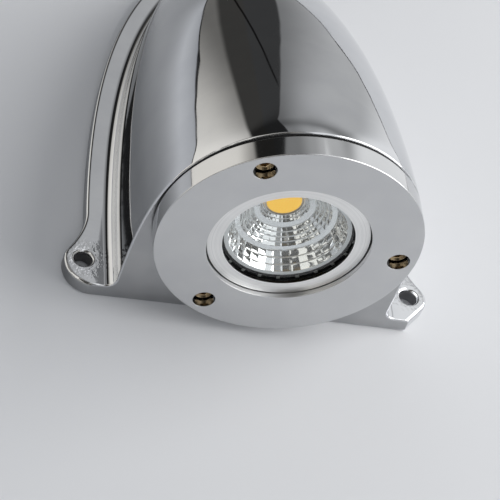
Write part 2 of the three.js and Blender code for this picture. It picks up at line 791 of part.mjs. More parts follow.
function makeHeatSink() {
  const floorY = atDepth(cupFloorDepth);
  const frontY = atDepth(cupFrontDepth);
  const seatY = atDepth(glassBackDepth) + seatGap * 2 + reflectorWall;
  const shoulderRadius = outerEnd[0] + reflectorWall + cupShoulderGap;
  const shoulderY = atDepth(outerEnd[1] + cupShoulderDrop);
  const throatY = atDepth(holderTopDepth - cupThroatRise);
  const wall = cupOuterRadius - cupSeatRadius;
  const body = turnedOnAxis([
    [0, floorY],
    [cupThroatRadius, floorY],
    [cupThroatRadius, throatY],
    [shoulderRadius, shoulderY],
    [cupSeatRadius, seatY],
    [cupMouthRadius, seatY],
    [cupMouthRadius, frontY],
    [cupOuterRadius, frontY],
    [cupOuterRadius, cupFlangeFrontY],
    [cupFlangeRadius, cupFlangeFrontY],
    [cupFlangeRadius, cupFlangeBackY],
    [cupOuterRadius, cupFlangeBackY],
    [shoulderRadius + wall, shoulderY],
    [cupThroatRadius + wall, throatY + wall],
    [cupThroatRadius + wall, floorY + cupFloorThickness],
    [coreRadius, floorY + cupFloorThickness],
    [coreRadius, heatSinkBackY],
    [0, heatSinkBackY],
  ], finCount);
  const finRootRadius = coreRadius - overrun;
  const toothTipY = frontY - toothHeight;
  const bars = [];
  for (let i = 0; i < finCount; i += 1) {
    const angle = fullTurn * i / finCount;
    bars.push(radialBar(angle, finRootRadius, cupOuterRadius, finThickness, cupFlangeBackY, heatSinkBackY));
    bars.push(radialBar(angle, cupMouthRadius, cupOuterRadius, finThickness, toothTipY, seatY));
  }
  const hollow = turnedOnAxis([
    [0, frontY - overrun],
    [cupMouthRadius, frontY - overrun],
    [cupMouthRadius, seatY],
    [cupSeatRadius, seatY],
    [shoulderRadius, shoulderY],
    [cupThroatRadius, throatY],
    [cupThroatRadius, floorY],
    [0, floorY],
  ], finCount);
  const screwEndY = atDepth(holderTopDepth) + holderHeadHeight + holderScrewLength + slipGap;
  const drilled = unite([
    ...holderScrewPlaces.map(([x, z]) =>
      turnedAlongY(band(0, holderScrewRadius + threadGap, floorY - overrun, screwEndY), x, z, sides.hole)),
    ...leadHolePlaces.map(([x, z]) =>
      turnedAlongY(band(0, leadHoleRadius, floorY - overrun, heatSinkBackY + overrun), x, z, sides.hole)),
  ]);
  return body.add(unite(bars)).subtract(hollow).subtract(drilled);
}

function makeBackPlate() {
  const solid = plateSolid(slipGap, plateRecess, plateInnerZ);
  const drill = (radius, x, y, segments) =>
    post(radius, x, y, -overrun, plateInnerZ + overrun, segments);
  const holes = unite([
    ...plateScrewPlaces.map(([x, y]) =>
      turnedUpright(plateHeadProfile(seatGap, -overrun, plateInnerZ + overrun), x, y, sides.hole)),
    drill(grommetNeckRadius + seatGap, 0, grommetY, sides.post),
    drill(earthShankRadius + threadGap, earthX, earthY, sides.hole),
    drill(terminalScrewRadius + threadGap, terminalPitch / 2, terminalY, sides.hole),
    ...driverTabPlaces.map((y) => drill(driverScrewRadius + threadGap, 0, y, sides.hole)),
  ]);
  return solid.subtract(holes);
}

const makePlateScrew = ([x, y]) =>
  turnedUpright(plateHeadProfile(0, plateRecess, plateRecess + plateScrewLength), x, y, sides.hole);

function makeGrommet() {
  return turnedUpright([
    [grommetBoreRadius, plateRecess],
    [grommetNeckRadius, plateRecess],
    [grommetNeckRadius, plateInnerZ + seatGap],
    [grommetRimRadius, plateInnerZ + seatGap],
    [grommetRimRadius, plateInnerZ + seatGap + grommetRimHeight / 2],
    [grommetNeckRadius, plateInnerZ + seatGap + grommetRimHeight],
    [grommetBoreRadius, plateInnerZ + seatGap + grommetRimHeight],
    [grommetBoreRadius, plateRecess],
  ], 0, grommetY, sides.post);
}

// A pan head screw that holds something down on the back plate.
function panScrew(x, y, seatZ, radius, headRadius, headHeight) {
  return turnedUpright([
    [0, plateRecess],
    [radius, plateRecess],
    [radius, seatZ],
    [headRadius, seatZ],
    [headRadius, seatZ + headHeight / 2],
    [headRadius / 2, seatZ + headHeight],
    [0, seatZ + headHeight],
  ], x, y, sides.hole);
}

// A box with rounded upright corners, centred on x = 0.
function roundedBox(width, y0, y1, corner, z0, z1) {
  const x = width / 2;
  const shape = new THREE.Shape();
  shape.absarc(x - corner, y0 + corner, corner, -quarterTurn, 0, false);
  shape.absarc(x - corner, y1 - corner, corner, 0, quarterTurn, false);
  shape.absarc(corner - x, y1 - corner, corner, quarterTurn, Math.PI, false);
  shape.absarc(corner - x, y0 + corner, corner, Math.PI, Math.PI + quarterTurn, false);
  const geometry = new THREE.ExtrudeGeometry(shape, {
    depth: z1 - z0, bevelEnabled: false, steps: 1, curveSegments: 2,
  });
  geometry.translate(0, 0, z0);
  return solidOf(geometry);
}

const driverTabPlaces = [driverY - driverTabLength / 2, driverEndY + driverTabLength / 2];
const driverBaseZ = plateInnerZ + seatGap;
const driverLidZ = driverBaseZ + driverHeight - driverWall;
const driverBoardZ = driverBaseZ + driverWall + driverStandoff + seatGap;
const driverPortZ = driverBoardZ + driverBoardThickness + leadPortRadius * 2;
const leadPortX = driverWidth / 2 - driverCorner - driverWall - leadPortRadius * 2;

function makeDriverCase() {
  const tabWidth = driverWidth / 2;
  const body = unite([
    roundedBox(driverWidth, driverY, driverEndY, driverCorner, driverBaseZ, driverLidZ - seatGap),
    roundedBox(tabWidth, driverY - driverTabLength, driverEndY + driverTabLength, driverCorner,
      driverBaseZ, driverBaseZ + driverTabThickness),
  ]);
  const inside = roundedBox(driverWidth - driverWall * 2, driverY + driverWall, driverEndY - driverWall,
    driverCorner - driverWall, driverBaseZ + driverWall, driverLidZ + overrun);
  const standX = driverWidth / 2 - driverWall - driverCorner;
  const stands = [-standX, standX].flatMap((x) =>
    [driverY + driverWall + driverCorner, driverEndY - driverWall - driverCorner].map((y) =>
      post(driverCorner / 2, x, y, driverBaseZ + driverWall / 2,
        driverBaseZ + driverWall + driverStandoff, sides.clamp)));
  const portProfile = band(0, leadPortRadius, driverY - overrun, driverEndY + overrun);
  const ports = [-leadPortX, leadPortX].map((x) => turnedAlongY(portProfile, x, driverPortZ, sides.hole));
  const tabHoles = driverTabPlaces.map((y) =>
    post(driverScrewRadius + seatGap, 0, y, 0, driverBaseZ + driverTabThickness + overrun, sides.hole));
  return body.subtract(inside).add(unite(stands)).subtract(unite([...ports, ...tabHoles]));
}

function makeDriverLid() {
  const inset = driverWall + slipGap;
  const corner = driverCorner - driverWall;
  return unite([
    roundedBox(driverWidth, driverY, driverEndY, driverCorner, driverLidZ, driverLidZ + driverWall),
    roundedBox(driverWidth - inset * 2, driverY + inset, driverEndY - inset, corner,
      driverLidZ - driverWall, driverLidZ + driverWall / 2),
  ]);
}

function makeDriverBoard() {
  const inset = driverWall + slipGap;
  return roundedBox(driverWidth - inset * 2, driverY + inset, driverEndY - inset, driverCorner - driverWall,
    driverBoardZ, driverBoardZ + driverBoardThickness);
}

const componentZ = driverBoardZ + driverBoardThickness + seatGap;

function makeTransformer() {
  const x = transformerWidth / 2;
  const y1 = driverY + driverLength / 2;
  const y0 = y1 - driverLength * transformerLengthShare;
  return block(-x, x, y0, y1, componentZ, componentZ + transformerHeight);
}

function makeCapacitor() {
  const y0 = driverY + driverLength / 2 + capacitorRadius;
  const profile = band(0, capacitorRadius, y0, y0 + driverLength * capacitorLengthShare);
  return turnedAlongY(profile, 0, componentZ + capacitorRadius, sides.head);
}

const driverScrewSeatZ = driverBaseZ + driverTabThickness + seatGap;
const makeDriverScrew = (y) =>
  panScrew(0, y, driverScrewSeatZ, driverScrewRadius, driverHeadRadius, driverHeadHeight);

const poles = Array.from({ length: terminalPoles }, (_, pole) => pole);
const poleX = (pole) => (pole - (terminalPoles - 1) / 2) * terminalPitch;
const terminalBaseZ = plateInnerZ + seatGap;
const terminalWireZ = terminalBaseZ + terminalWireHeight;
const clampRowY = [-1, 1].map((side) => terminalY + side * terminalDepth * clampRowShare);
const clampPlaces = clampRowY.flatMap((y) => poles.map((pole) => [poleX(pole), y]));
const clampLowZ = terminalWireZ + leadRadius + seatGap;

function makeTerminalBlock() {
  const width = terminalPitch * terminalPoles;
  const topZ = terminalBaseZ + terminalHeight;
  const frontY = terminalY - terminalDepth / 2;
  const backY = terminalY + terminalDepth / 2;
  const body = block(-width / 2, width / 2, frontY, backY, terminalBaseZ, topZ);
  const wireProfile = band(0, terminalWireRadius, frontY - overrun, backY + overrun);
  const holes = unite([
    ...poles.map((pole) => turnedAlongY(wireProfile, poleX(pole), terminalWireZ, sides.clamp)),
    ...clampPlaces.map(([x, y]) =>
      post(clampScrewRadius + seatGap, x, y, terminalWireZ, topZ + overrun, sides.clamp)),
    turnedUpright([
      [0, 0],
      [terminalScrewRadius + seatGap, 0],
      [terminalScrewRadius + seatGap, topZ - clampWellDepth],
      [terminalScrewHead + seatGap, topZ - clampWellDepth],
      [terminalScrewHead + seatGap, topZ + overrun],
      [0, topZ + overrun],
    ], terminalPitch / 2, terminalY, sides.hole),
  ]);
  return body.subtract(holes);
}

const makeClampScrew = ([x, y]) =>
  post(clampScrewRadius, x, y, clampLowZ, clampLowZ + clampScrewHeight, sides.clamp);

const makeTerminalScrew = () =>
  panScrew(terminalPitch / 2, terminalY, terminalBaseZ + terminalHeight - clampWellDepth + seatGap,
    terminalScrewRadius, terminalScrewHead, terminalScrewHeadHeight);

const makeEarthScrew = () =>
  panScrew(earthX, earthY, plateInnerZ + seatGap, earthShankRadius, earthHeadRadius, earthHeadHeight);

// An insulated lead along its real route.
function makeLead(route) {
  const section = new THREE.Shape();
  section.absarc(0, 0, leadRadius, 0, fullTurn, false);
  const geometry = new THREE.ExtrudeGeometry(section, {
    extrudePath: new THREE.CatmullRomCurve3(route),
    steps: leadSteps,
    curveSegments: leadSides / 2,
    bevelEnabled: false,
  });
  return solidOf(geometry);
}

// From the light source, back through the heat sink and down to the driver's front.
function ledLeadRoute(side) {
  const startY = atDepth(cupFloorDepth) + slipGap;
  const gapY = (heatSinkBackY + driverY) / 2;
  const bend = leadRadius * 3;
  const holeX = side * leadHoleCircle;
  const portX = side * leadPortX;
  return [
    point3(holeX, startY, opticZ),
    point3(holeX, (startY + heatSinkBackY) / 2, opticZ),
    point3(holeX, heatSinkBackY, opticZ),
    point3(holeX, gapY, opticZ - bend),
    point3((holeX + portX) / 2, gapY, (opticZ + driverPortZ) / 2),
    point3(portX, gapY, driverPortZ + bend),
    point3(portX, driverY, driverPortZ),
    point3(portX, driverY + driverWall * 3, driverPortZ),
  ];
}

const terminalFrontY = terminalY - terminalDepth / 2;

// From the driver's back end into one pole of the terminal block.
function supplyLeadRoute(portX, pole) {
  const endX = poleX(pole);
  return [
    point3(portX, driverEndY - driverWall * 3, driverPortZ),
    point3(portX, driverEndY + leadRadius, driverPortZ),
    point3(endX, terminalFrontY - leadRadius * 2, terminalWireZ),
    point3(endX, terminalFrontY + leadRadius, terminalWireZ),
    point3(endX, terminalY - terminalDepth * clampRowShare + leadRadius, terminalWireZ),
  ];
}

// From the earth pole out in front of the block and round to the earth screw's head.
function earthLeadRoute() {
  const pole = poleX(0);
  const loopY = terminalFrontY - leadRadius * 3;
  return [
    point3(pole, terminalY - terminalDepth * clampRowShare + leadRadius, terminalWireZ),
    point3(pole, terminalFrontY, terminalWireZ),
    point3(pole - leadRadius * 2, loopY, terminalWireZ),
    point3((pole + earthX) / 2, loopY, plateInnerZ + leadRadius * 2),
    point3(earthX + earthHeadRadius + leadRadius, earthY, plateInnerZ + leadRadius + slipGap),
  ];
}

// The assembly stands with the middle of its length over the origin.
const tailTipY = tailHoleY + earRadius;
const light = new THREE.Group();
const assembly = new THREE.Group();
assembly.position.y = -(bezelFaceY + tailTipY) / 2;
light.add(assembly);

const add = (name, solid, material) => assembly.add(piece(name, solid, material));
const addEach = (name, places, make, material) =>
  places.forEach((place, i) => add(`${name}_${i + 1}`, make(place), material));

add('housing', makeHousing(), finishes.chrome);
add('bezel_ring', makeBezelRing(), finishes.satin);
add('bezel_gasket', makeBezelGasket(), finishes.rubber);
addEach('bezel_screw', bezelScrewPlaces, makeBezelScrew, finishes.screw);
add('trim_ring', makeTrimRing(), finishes.brushed);
add('front_glass', makeFrontGlass(), glassFinish);
add('glass_seal', makeGlassSeal(), finishes.rubber);
add('reflector', makeReflector(), finishes.mirror);
add('led_phosphor', makePhosphor(), finishes.phosphor);
add('led_board', makeLedBoard(), finishes.board);
add('led_holder', makeLedHolder(), finishes.holder);
addEach('led_holder_screw', holderScrewPlaces, makeHolderScrew, finishes.steel);
add('heat_sink', makeHeatSink(), finishes.anodised);
add('back_plate', makeBackPlate(), finishes.steel);
addEach('back_plate_screw', plateScrewPlaces, makePlateScrew, finishes.steel);
add('cable_grommet', makeGrommet(), finishes.rubber);
add('driver_case', makeDriverCase(), finishes.casing);
add('driver_lid', makeDriverLid(), finishes.casing);
add('driver_board', makeDriverBoard(), finishes.circuit);
add('driver_transformer', makeTransformer(), finishes.winding);
add('driver_capacitor', makeCapacitor(), finishes.can);
addEach('driver_screw', driverTabPlaces, makeDriverScrew, finishes.steel);
add('terminal_block', makeTerminalBlock(), finishes.holder);
add('terminal_fixing_screw', makeTerminalScrew(), finishes.steel);
addEach('terminal_clamp_screw', clampPlaces, makeClampScrew, finishes.steel);
add('earth_screw', makeEarthScrew(), finishes.winding);
add('led_lead_positive', makeLead(ledLeadRoute(1)), finishes.red);
add('led_lead_negative', makeLead(ledLeadRoute(-1)), finishes.black);
add('lead_live', makeLead(supplyLeadRoute(leadPortX, terminalPoles - 1)), finishes.brown);
add('lead_neutral', makeLead(supplyLeadRoute(-leadPortX, 1)), finishes.blue);
add('lead_earth', makeLead(earthLeadRoute()), finishes.green);

export default light;
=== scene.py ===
import json
import logging
import math
import random
from dataclasses import dataclass
from enum import Enum, IntEnum
from typing import Callable, Sequence

import bmesh
import bpy
from mathutils import Matrix, Vector


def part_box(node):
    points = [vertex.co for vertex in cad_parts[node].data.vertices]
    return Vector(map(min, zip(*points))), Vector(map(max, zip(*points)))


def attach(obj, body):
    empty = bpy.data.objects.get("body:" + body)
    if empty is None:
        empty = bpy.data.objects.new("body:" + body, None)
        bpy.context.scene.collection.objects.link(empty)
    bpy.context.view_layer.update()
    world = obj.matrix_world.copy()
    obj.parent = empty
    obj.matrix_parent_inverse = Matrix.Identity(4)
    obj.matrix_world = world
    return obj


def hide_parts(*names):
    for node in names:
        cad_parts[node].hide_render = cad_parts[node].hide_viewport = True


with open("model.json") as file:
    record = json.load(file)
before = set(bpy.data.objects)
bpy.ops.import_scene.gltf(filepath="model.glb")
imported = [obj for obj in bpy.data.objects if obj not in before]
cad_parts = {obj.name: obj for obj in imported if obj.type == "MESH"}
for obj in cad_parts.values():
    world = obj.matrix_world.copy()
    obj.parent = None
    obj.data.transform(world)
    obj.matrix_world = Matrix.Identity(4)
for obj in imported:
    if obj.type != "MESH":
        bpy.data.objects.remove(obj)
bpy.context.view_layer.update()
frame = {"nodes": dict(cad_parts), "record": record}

LOG = logging.getLogger("wall_light")
MM = 0.001
FULL_TURN = math.tau
HALF_TURN = math.pi
QUARTER_TURN = math.pi / 2
FULL_DEGREES = 360.0
IN_DEGREES = math.degrees(1.0)

# Millimetres within which points join, lie on a plane, or lie on a plane that a curve meets.
WELD = 0.002
SLIVER = WELD / 4
ON_PLANE = 0.001
NEAR_PLANE = 0.01
# The most that an eased corner takes of each side.
EASE_SHARE = 0.45
# How flat a facet of the mirror is between its rounded edges.
SWELL_POWER = 4
HALF = 0.5
NOISE_MIDDLE = 0.5
MATRIX_SIZE = 4
# The Mix node's sockets for colours.
MIX_SHARE = 0
MIX_LOW = 6
MIX_HIGH = 7
MIX_RESULT = 2

# The casting's front plane in metres, and what stands on it in millimetres.
FRONT_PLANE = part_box("housing")[0][1]
CASTING_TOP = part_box("housing")[1][2] / MM
RING_LOW, RING_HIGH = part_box("bezel_ring")
RING_RADIUS = (RING_HIGH[0] - RING_LOW[0]) / 2 / MM
RING_FACE = (RING_LOW[1] - FRONT_PLANE) / MM
OPTIC_Z = (RING_LOW[2] + RING_HIGH[2]) / 2 / MM
# The ring's screws: how far from the light's axis, and their turns in degrees.
SCREW_CIRCLE = 42.2
SCREW_TURNS = (-28, 92, 212)
OPTIC_CENTRE = Vector((0, RING_FACE, OPTIC_Z))
# The fixing holes, and how strong the plating's ripples are round each.
EAR_X = 64.8
EAR_Y = 12.2
TAIL_HOLE_Y = 188.5
FIXING_HOLES = ((-EAR_X, EAR_Y), (EAR_X, EAR_Y), (0.0, TAIL_HOLE_Y))
EAR_RIPPLES = (1.0, 0.5, 0.3)

Place = Callable[[float, float], Vector]
Test = Callable[[Vector], bool]
Colour = tuple[float, float, float]
Span = tuple[float, float]
Point = tuple[float, float, float]


class Turn(Enum):
    """Which way the axis of a turned form lies."""

    OPTIC = "along Y, through the light"
    UPRIGHT = "along Z, square to the wall"


class Axis(IntEnum):
    """An axis that a plane is square to, by its place in a point."""

    Y = 1
    Z = 2


class Ray(Enum):
    """A kind of ray, by its name on the light path."""

    CAMERA = "Is Camera Ray"
    GLOSSY = "Is Glossy Ray"
    TRANSMISSION = "Is Transmission Ray"


@dataclass(frozen=True)
class Corner:
    """A corner of a turned profile: radius, station along the axis and how far it is eased."""

    radius: float
    along: float
    ease: float = 0.0


Profile = tuple[Corner, ...]


def smooth_step(value: float, low: float, high: float) -> float:
    """Eased share of the way from low to high."""
    share = min(max((value - low) / (high - low), 0.0), 1.0)
    return share * share * (3 - 2 * share)


def shares(steps: int) -> list[float]:
    """Evenly spaced shares from 0 to 1, both ends in."""
    return [step / steps for step in range(steps + 1)]


def quarter(steps: int) -> list[float]:
    """Evenly spaced angles from 0 to a quarter turn, both ends in."""
    return [QUARTER_TURN * share for share in shares(steps)]


def bent(start: Vector, bend: Vector, end: Vector, share: float) -> Vector:
    """A point of the curve that leaves start towards bend and comes from bend to end."""
    return start.lerp(bend, share).lerp(bend.lerp(end, share), share)


def on_level(axis: Axis, level: float, slack: float = ON_PLANE) -> Test:
    """Makes the test for points that lie within a slack of a plane square to an axis."""
    return lambda spot: abs(spot[axis] - level) < slack


def screw_places() -> list[tuple[float, float]]:
    """Places of the ring's screws across and up."""
    turns = [math.radians(degrees) for degrees in SCREW_TURNS]
    return [(SCREW_CIRCLE * math.sin(turn), OPTIC_Z + SCREW_CIRCLE * math.cos(turn)) for turn in turns]


def eased(corners: Sequence[Corner], closed: bool, steps: int = 4) -> list[tuple[float, float]]:
    """Turns the corners of a profile into points, with a small curve at each eased one.

    Args:
        corners: the profile's corners in order.
        closed: whether the last corner joins the first.
        steps: parts of each curve.

    Returns:
        The profile's points as radius and station.
    """
    points: list[tuple[float, float]] = []
    count = len(corners)
    for index, corner in enumerate(corners):
        here = Vector((corner.radius, corner.along))
        at_end = not closed and index in (0, count - 1)
        if corner.ease <= 0 or at_end:
            points.append((here.x, here.y))
            continue
        before = corners[index - 1]
        after = corners[(index + 1) % count]
        back = Vector((before.radius, before.along)) - here
        ahead = Vector((after.radius, after.along)) - here
        reach = min(corner.ease, back.length * EASE_SHARE, ahead.length * EASE_SHARE)
        start = here + back.normalized() * reach
        end = here + ahead.normalized() * reach
        for share in shares(steps):
            point = bent(start, here, end, share)
            points.append((point.x, point.y))
    return points


class Shape:
    """A mesh being modelled in millimetres behind the casting's front plane."""

    def __init__(self) -> None:
        """Starts with nothing."""
        self.mesh = bmesh.new()

    def sheet(self, across: int, along: int, place: Place) -> None:
        """Adds a grid and sets its points by a function of two shares.

        Args:
            across: faces along the first share.
            along: faces along the second share.
            place: gives a point from the two shares.
        """
        grid = bmesh.ops.create_grid(self.mesh, x_segments=across, y_segments=along, size=HALF)
        for vert in grid["verts"]:
            vert.co = place(vert.co.x + HALF, vert.co.y + HALF)

    def ribbon(self, line: Sequence[Vector], rows: int,
               place: Callable[[Vector, int, float], Vector]) -> None:
        """Adds a sheet along a line of points.

        Args:
            line: the points that the sheet follows.
            rows: faces across the sheet.
            place: gives a point from the line's point, its number and the share across.
        """
        last = len(line) - 1

        def on_ribbon(across: float, along: float) -> Vector:
            """Looks up the line's point."""
            number = round(along * last)
            return place(line[number], number, across)

        self.sheet(rows, last, on_ribbon)

    def turned(self, points: Sequence[tuple[float, float]], turn: Turn, centre: Vector, steps: int,
               closed: bool = False) -> None:
        """Spins a profile once round an axis.

        Args:
            points: the profile as radius and station along the axis.
            turn: which way the axis lies.
            centre: a point on the axis.
            steps: faces round.
            closed: whether the profile's last point joins its first.
        """
        verts = []
        for radius, along in points:
            if turn is Turn.OPTIC:
                spot = Vector((centre.x + radius, centre.y + along, centre.z))
            else:
                spot = Vector((centre.x + radius, centre.y, centre.z + along))
            verts.append(self.mesh.verts.new(spot))
        edges = [self.mesh.edges.new(pair) for pair in zip(verts, verts[1:])]
        if closed:
            edges.append(self.mesh.edges.new((verts[-1], verts[0])))
        axis = Vector((0, 1, 0)) if turn is Turn.OPTIC else Vector((0, 0, 1))
        bmesh.ops.spin(self.mesh, geom=verts + edges, cent=centre, axis=axis, angle=FULL_TURN,
                       steps=steps, use_merge=True)

    def cut_front(self, y: float) -> None:
        """Cuts away all that lies ahead of a plane.

        Args:
            y: where the plane crosses the Y axis.
        """
        everything = [*self.mesh.verts, *self.mesh.edges, *self.mesh.faces]
        bmesh.ops.bisect_plane(self.mesh, geom=everything, plane_co=(0, y, 0), plane_no=(0, 1, 0),
                               clear_inner=True)

    def weld(self) -> None:
        """Joins the points that lie on each other."""
        bmesh.ops.remove_doubles(self.mesh, verts=self.mesh.verts, dist=WELD)

    def flatten(self, axis: Axis, level: float, slack: float) -> None:
        """Moves the points near a plane on to it.

        Args:
            axis: the axis that the plane is square to.
            level: where it crosses the axis.
            slack: how far off a point may lie.
        """
        for vert in self.mesh.verts:
            if abs(vert.co[axis] - level) < slack:
                vert.co[axis] = level

    def open_edges(self, test: Test) -> list[bmesh.types.BMEdge]:
        """Finds the open edges whose two ends pass a test."""
        return [edge for edge in self.mesh.edges
                if (edge.is_boundary or edge.is_wire) and all(test(vert.co) for vert in edge.verts)]

    def fill(self, edges: Sequence[bmesh.types.BMEdge]) -> list[bmesh.types.BMFace]:
        """Fills a flat outline, with its holes left open."""
        made = bmesh.ops.triangle_fill(self.mesh, use_beauty=True, use_dissolve=False, edges=list(edges))
        return [item for item in made["geom"] if isinstance(item, bmesh.types.BMFace)]

    def fill_level(self, axis: Axis, level: float) -> list[bmesh.types.BMFace]:
        """Fills the outlines that lie on a plane square to an axis."""
        return self.fill(self.open_edges(on_level(axis, level)))

    def nearest(self, spot: Vector) -> bmesh.types.BMVert:
        """Finds the vertex nearest to a spot."""
        return min(self.mesh.verts, key=lambda vert: (vert.co - spot).length_squared)

    def outermost(self, side: int, y: float, z: float) -> Vector:
        """Finds the vertex farthest to one side on a line across.

        Args:
            side: -1 for left or 1 for right.
            y: the line's station.
            z: the line's height.

        Returns:
            The vertex's place.
        """
        on_y = on_level(Axis.Y, y, NEAR_PLANE)
        on_z = on_level(Axis.Z, z, NEAR_PLANE)
        near = [vert.co for vert in self.mesh.verts if on_y(vert.co) and on_z(vert.co)]
        return max(near, key=lambda spot: side * spot.x).copy()

    def joined(self, start: Vector, end: Vector) -> bmesh.types.BMEdge:
        """Adds an edge between the vertices nearest to two spots."""
        ends = (self.nearest(start), self.nearest(end))
        return self.mesh.edges.get(ends) or self.mesh.edges.new(ends)

    def finished(self, name: str, sharp: float = 30.0) -> bpy.types.Object:
        """Places the shape in the frame as an object of its own.

        Args:
            name: the piece's name.
            sharp: angle in degrees past which an edge stays sharp.

        Returns:
            The object, at the origin and unturned.
        """
        self.weld()
        bmesh.ops.dissolve_degenerate(self.mesh, edges=self.mesh.edges, dist=SLIVER)
        bmesh.ops.recalc_face_normals(self.mesh, faces=self.mesh.faces)
        place = Matrix.Translation((0, FRONT_PLANE, 0)) @ Matrix.Scale(MM, MATRIX_SIZE)
        bmesh.ops.transform(self.mesh, matrix=place, verts=self.mesh.verts)
        open_count = sum(1 for edge in self.mesh.edges if not edge.is_manifold)
        mesh = bpy.data.meshes.new(name)
        self.mesh.to_mesh(mesh)
        self.mesh.free()
        mesh.polygons.foreach_set("use_smooth", [True] * len(mesh.polygons))
        mesh.set_sharp_from_angle(angle=math.radians(sharp))
        piece = bpy.data.objects.new(name, mesh)
        bpy.context.scene.collection.objects.link(piece)
        LOG.info("%s: %d faces, %d open edges", name, len(mesh.polygons), open_count)
        return piece


class Wire:
    """A shader value on which Python's arithmetic adds Math nodes."""

    def __init__(self, recipe: "Recipe", socket: bpy.types.NodeSocket) -> None:
        """Wraps one output socket."""
        self.recipe = recipe
        self.socket = socket

    def math(self, operation: str, *others: "Wire | float", swap: bool = False) -> "Wire":
        """Adds a Math node.

        Args:
            operation: the node's operation.
            others: the further values.
            swap: whether this value comes second.

        Returns:
            The node's value.
        """
        values = [self, *others]
        if swap:
            values.reverse()
        node = self.recipe.node("ShaderNodeMath", {"operation": operation}, dict(enumerate(values)))
        return Wire(self.recipe, node.outputs[0])

    def __add__(self, other: "Wire | float") -> "Wire":
        """This value plus another."""
        return self.math("ADD", other)

    __radd__ = __add__

    def __sub__(self, other: "Wire | float") -> "Wire":
        """This value less another."""
        return self.math("SUBTRACT", other)

    def __rsub__(self, other: "Wire | float") -> "Wire":
        """Another value less this one."""
        return self.math("SUBTRACT", other, swap=True)

    def __mul__(self, other: "Wire | float") -> "Wire":
        """This value times another."""
        return self.math("MULTIPLY", other)

    __rmul__ = __mul__

    def __truediv__(self, other: "Wire | float") -> "Wire":
        """This value over another."""
        return self.math("DIVIDE", other)

    def __pow__(self, other: "Wire | float") -> "Wire":
        """This value to a power."""
        return self.math("POWER", other)

    def least(self, other: "Wire | float") -> "Wire":
        """The smaller of this value and another."""
        return self.math("MINIMUM", other)

    def most(self, other: "Wire | float") -> "Wire":
        """The larger of this value and another."""
        return self.math("MAXIMUM", other)

    def step(self, low: "Wire | float", high: "Wire | float") -> "Wire":
        """Rises smoothly from 0 at low to 1 at high.

        Args:
            low: where the rise begins.
            high: where it ends.

        Returns:
            The risen value.
        """
        node = self.recipe.node("ShaderNodeMapRange", {"interpolation_type": "SMOOTHSTEP"},
                                {"Value": self, "From Min": low, "From Max": high})
        return Wire(self.recipe, node.outputs[0])

    def blend(self, low: "Wire | float", high: "Wire | float") -> "Wire":
        """Goes from low where this value is 0 to high where it is 1."""
        return low + self * (high - low)


class Recipe:
    """The node tree of one material or of the world."""

    def __init__(self, tree: bpy.types.NodeTree) -> None:
        """Empties the tree."""
        self.tree = tree
        tree.nodes.clear()

    def node(self, kind: str, settings: dict | None = None, inputs: dict | None = None) -> bpy.types.Node:
        """Adds a node.

        Args:
            kind: the node's type.
            settings: its own settings, set first.
            inputs: values or links by socket name or number.

        Returns:
            The node.
        """
        node = self.tree.nodes.new(kind)
        for key, value in (settings or {}).items():
            setattr(node, key, value)
        for key, value in (inputs or {}).items():
            if isinstance(value, Wire):
                value = value.socket
            if isinstance(value, bpy.types.NodeSocket):
                self.tree.links.new(value, node.inputs[key])
            else:
                node.inputs[key].default_value = value
        return node

    def value(self, kind: str, settings: dict | None = None, inputs: dict | None = None,
              output: str | int = 0) -> Wire:
        """Adds a node and wraps one of its outputs."""
        return Wire(self, self.node(kind, settings, inputs).outputs[output])

    def place(self) -> bpy.types.NodeSocket:
        """The place on the piece, in metres."""
        return self.node("ShaderNodeTexCoord").outputs["Object"]

    def axes(self, vector: bpy.types.NodeSocket) -> tuple[Wire, Wire, Wire]:
        """Splits a vector in three values."""
        split = self.node("ShaderNodeSeparateXYZ", None, {0: vector})
        return tuple(Wire(self, split.outputs[axis]) for axis in "XYZ")

    def ray(self, kind: Ray) -> Wire:
        """Is 1 where the ray that looks is of a kind, and 0 where it isn't."""
        return self.value("ShaderNodeLightPath", output=kind.value)

    def noise(self, scale: float, detail: float = 2.0,
              where: "bpy.types.NodeSocket | None" = None) -> Wire:
        """Adds soft noise of a scale per metre."""
        vector = self.place() if where is None else where
        return self.value("ShaderNodeTexNoise", None, {"Vector": vector, "Scale": scale, "Detail": detail})

    def mix(self, share: Wire, low: "Colour | bpy.types.NodeSocket",
            high: "Colour | bpy.types.NodeSocket") -> bpy.types.NodeSocket:
        """Mixes two colours.

        Args:
            share: how much of the second colour.
            low: the first colour, or a link to it.
            high: the second colour, or a link to it.

        Returns:
            The mixed colour.
        """
        low = (*low, 1) if isinstance(low, tuple) else low
        high = (*high, 1) if isinstance(high, tuple) else high
        inputs = {MIX_SHARE: share, MIX_LOW: low, MIX_HIGH: high}
        return self.node("ShaderNodeMix", {"data_type": "RGBA"}, inputs).outputs[MIX_RESULT]

    def scaled(self, vector: bpy.types.NodeSocket, factor: Wire) -> bpy.types.NodeSocket:
        """Makes a colour brighter or darker."""
        node = self.node("ShaderNodeVectorMath", {"operation": "SCALE"}, {0: vector, "Scale": factor})
        return node.outputs[0]

    def layered(self, share: Wire, under: bpy.types.NodeSocket,
                over: bpy.types.NodeSocket) -> bpy.types.NodeSocket:
        """Mixes two shaders."""
        return self.node("ShaderNodeMixShader", None, {0: share, 1: under, 2: over}).outputs[0]

    def bump(self, height: Wire, distance: float = 1.0) -> bpy.types.NodeSocket:
        """Turns a height into a normal. The distance is in metres, for a height of 1."""
        inputs = {"Height": height, "Distance": distance, "Strength": 1.0}
        return self.node("ShaderNodeBump", None, inputs).outputs[0]

    def surface(self, shader: bpy.types.NodeSocket, kind: str = "ShaderNodeOutputMaterial") -> None:
        """Links a shader to the output."""
        self.node(kind, None, {"Surface": shader})


def distance(across: Wire, along: Wire) -> Wire:
    """How far two legs at a right angle reach together."""
    return (across ** 2 + along ** 2) ** HALF


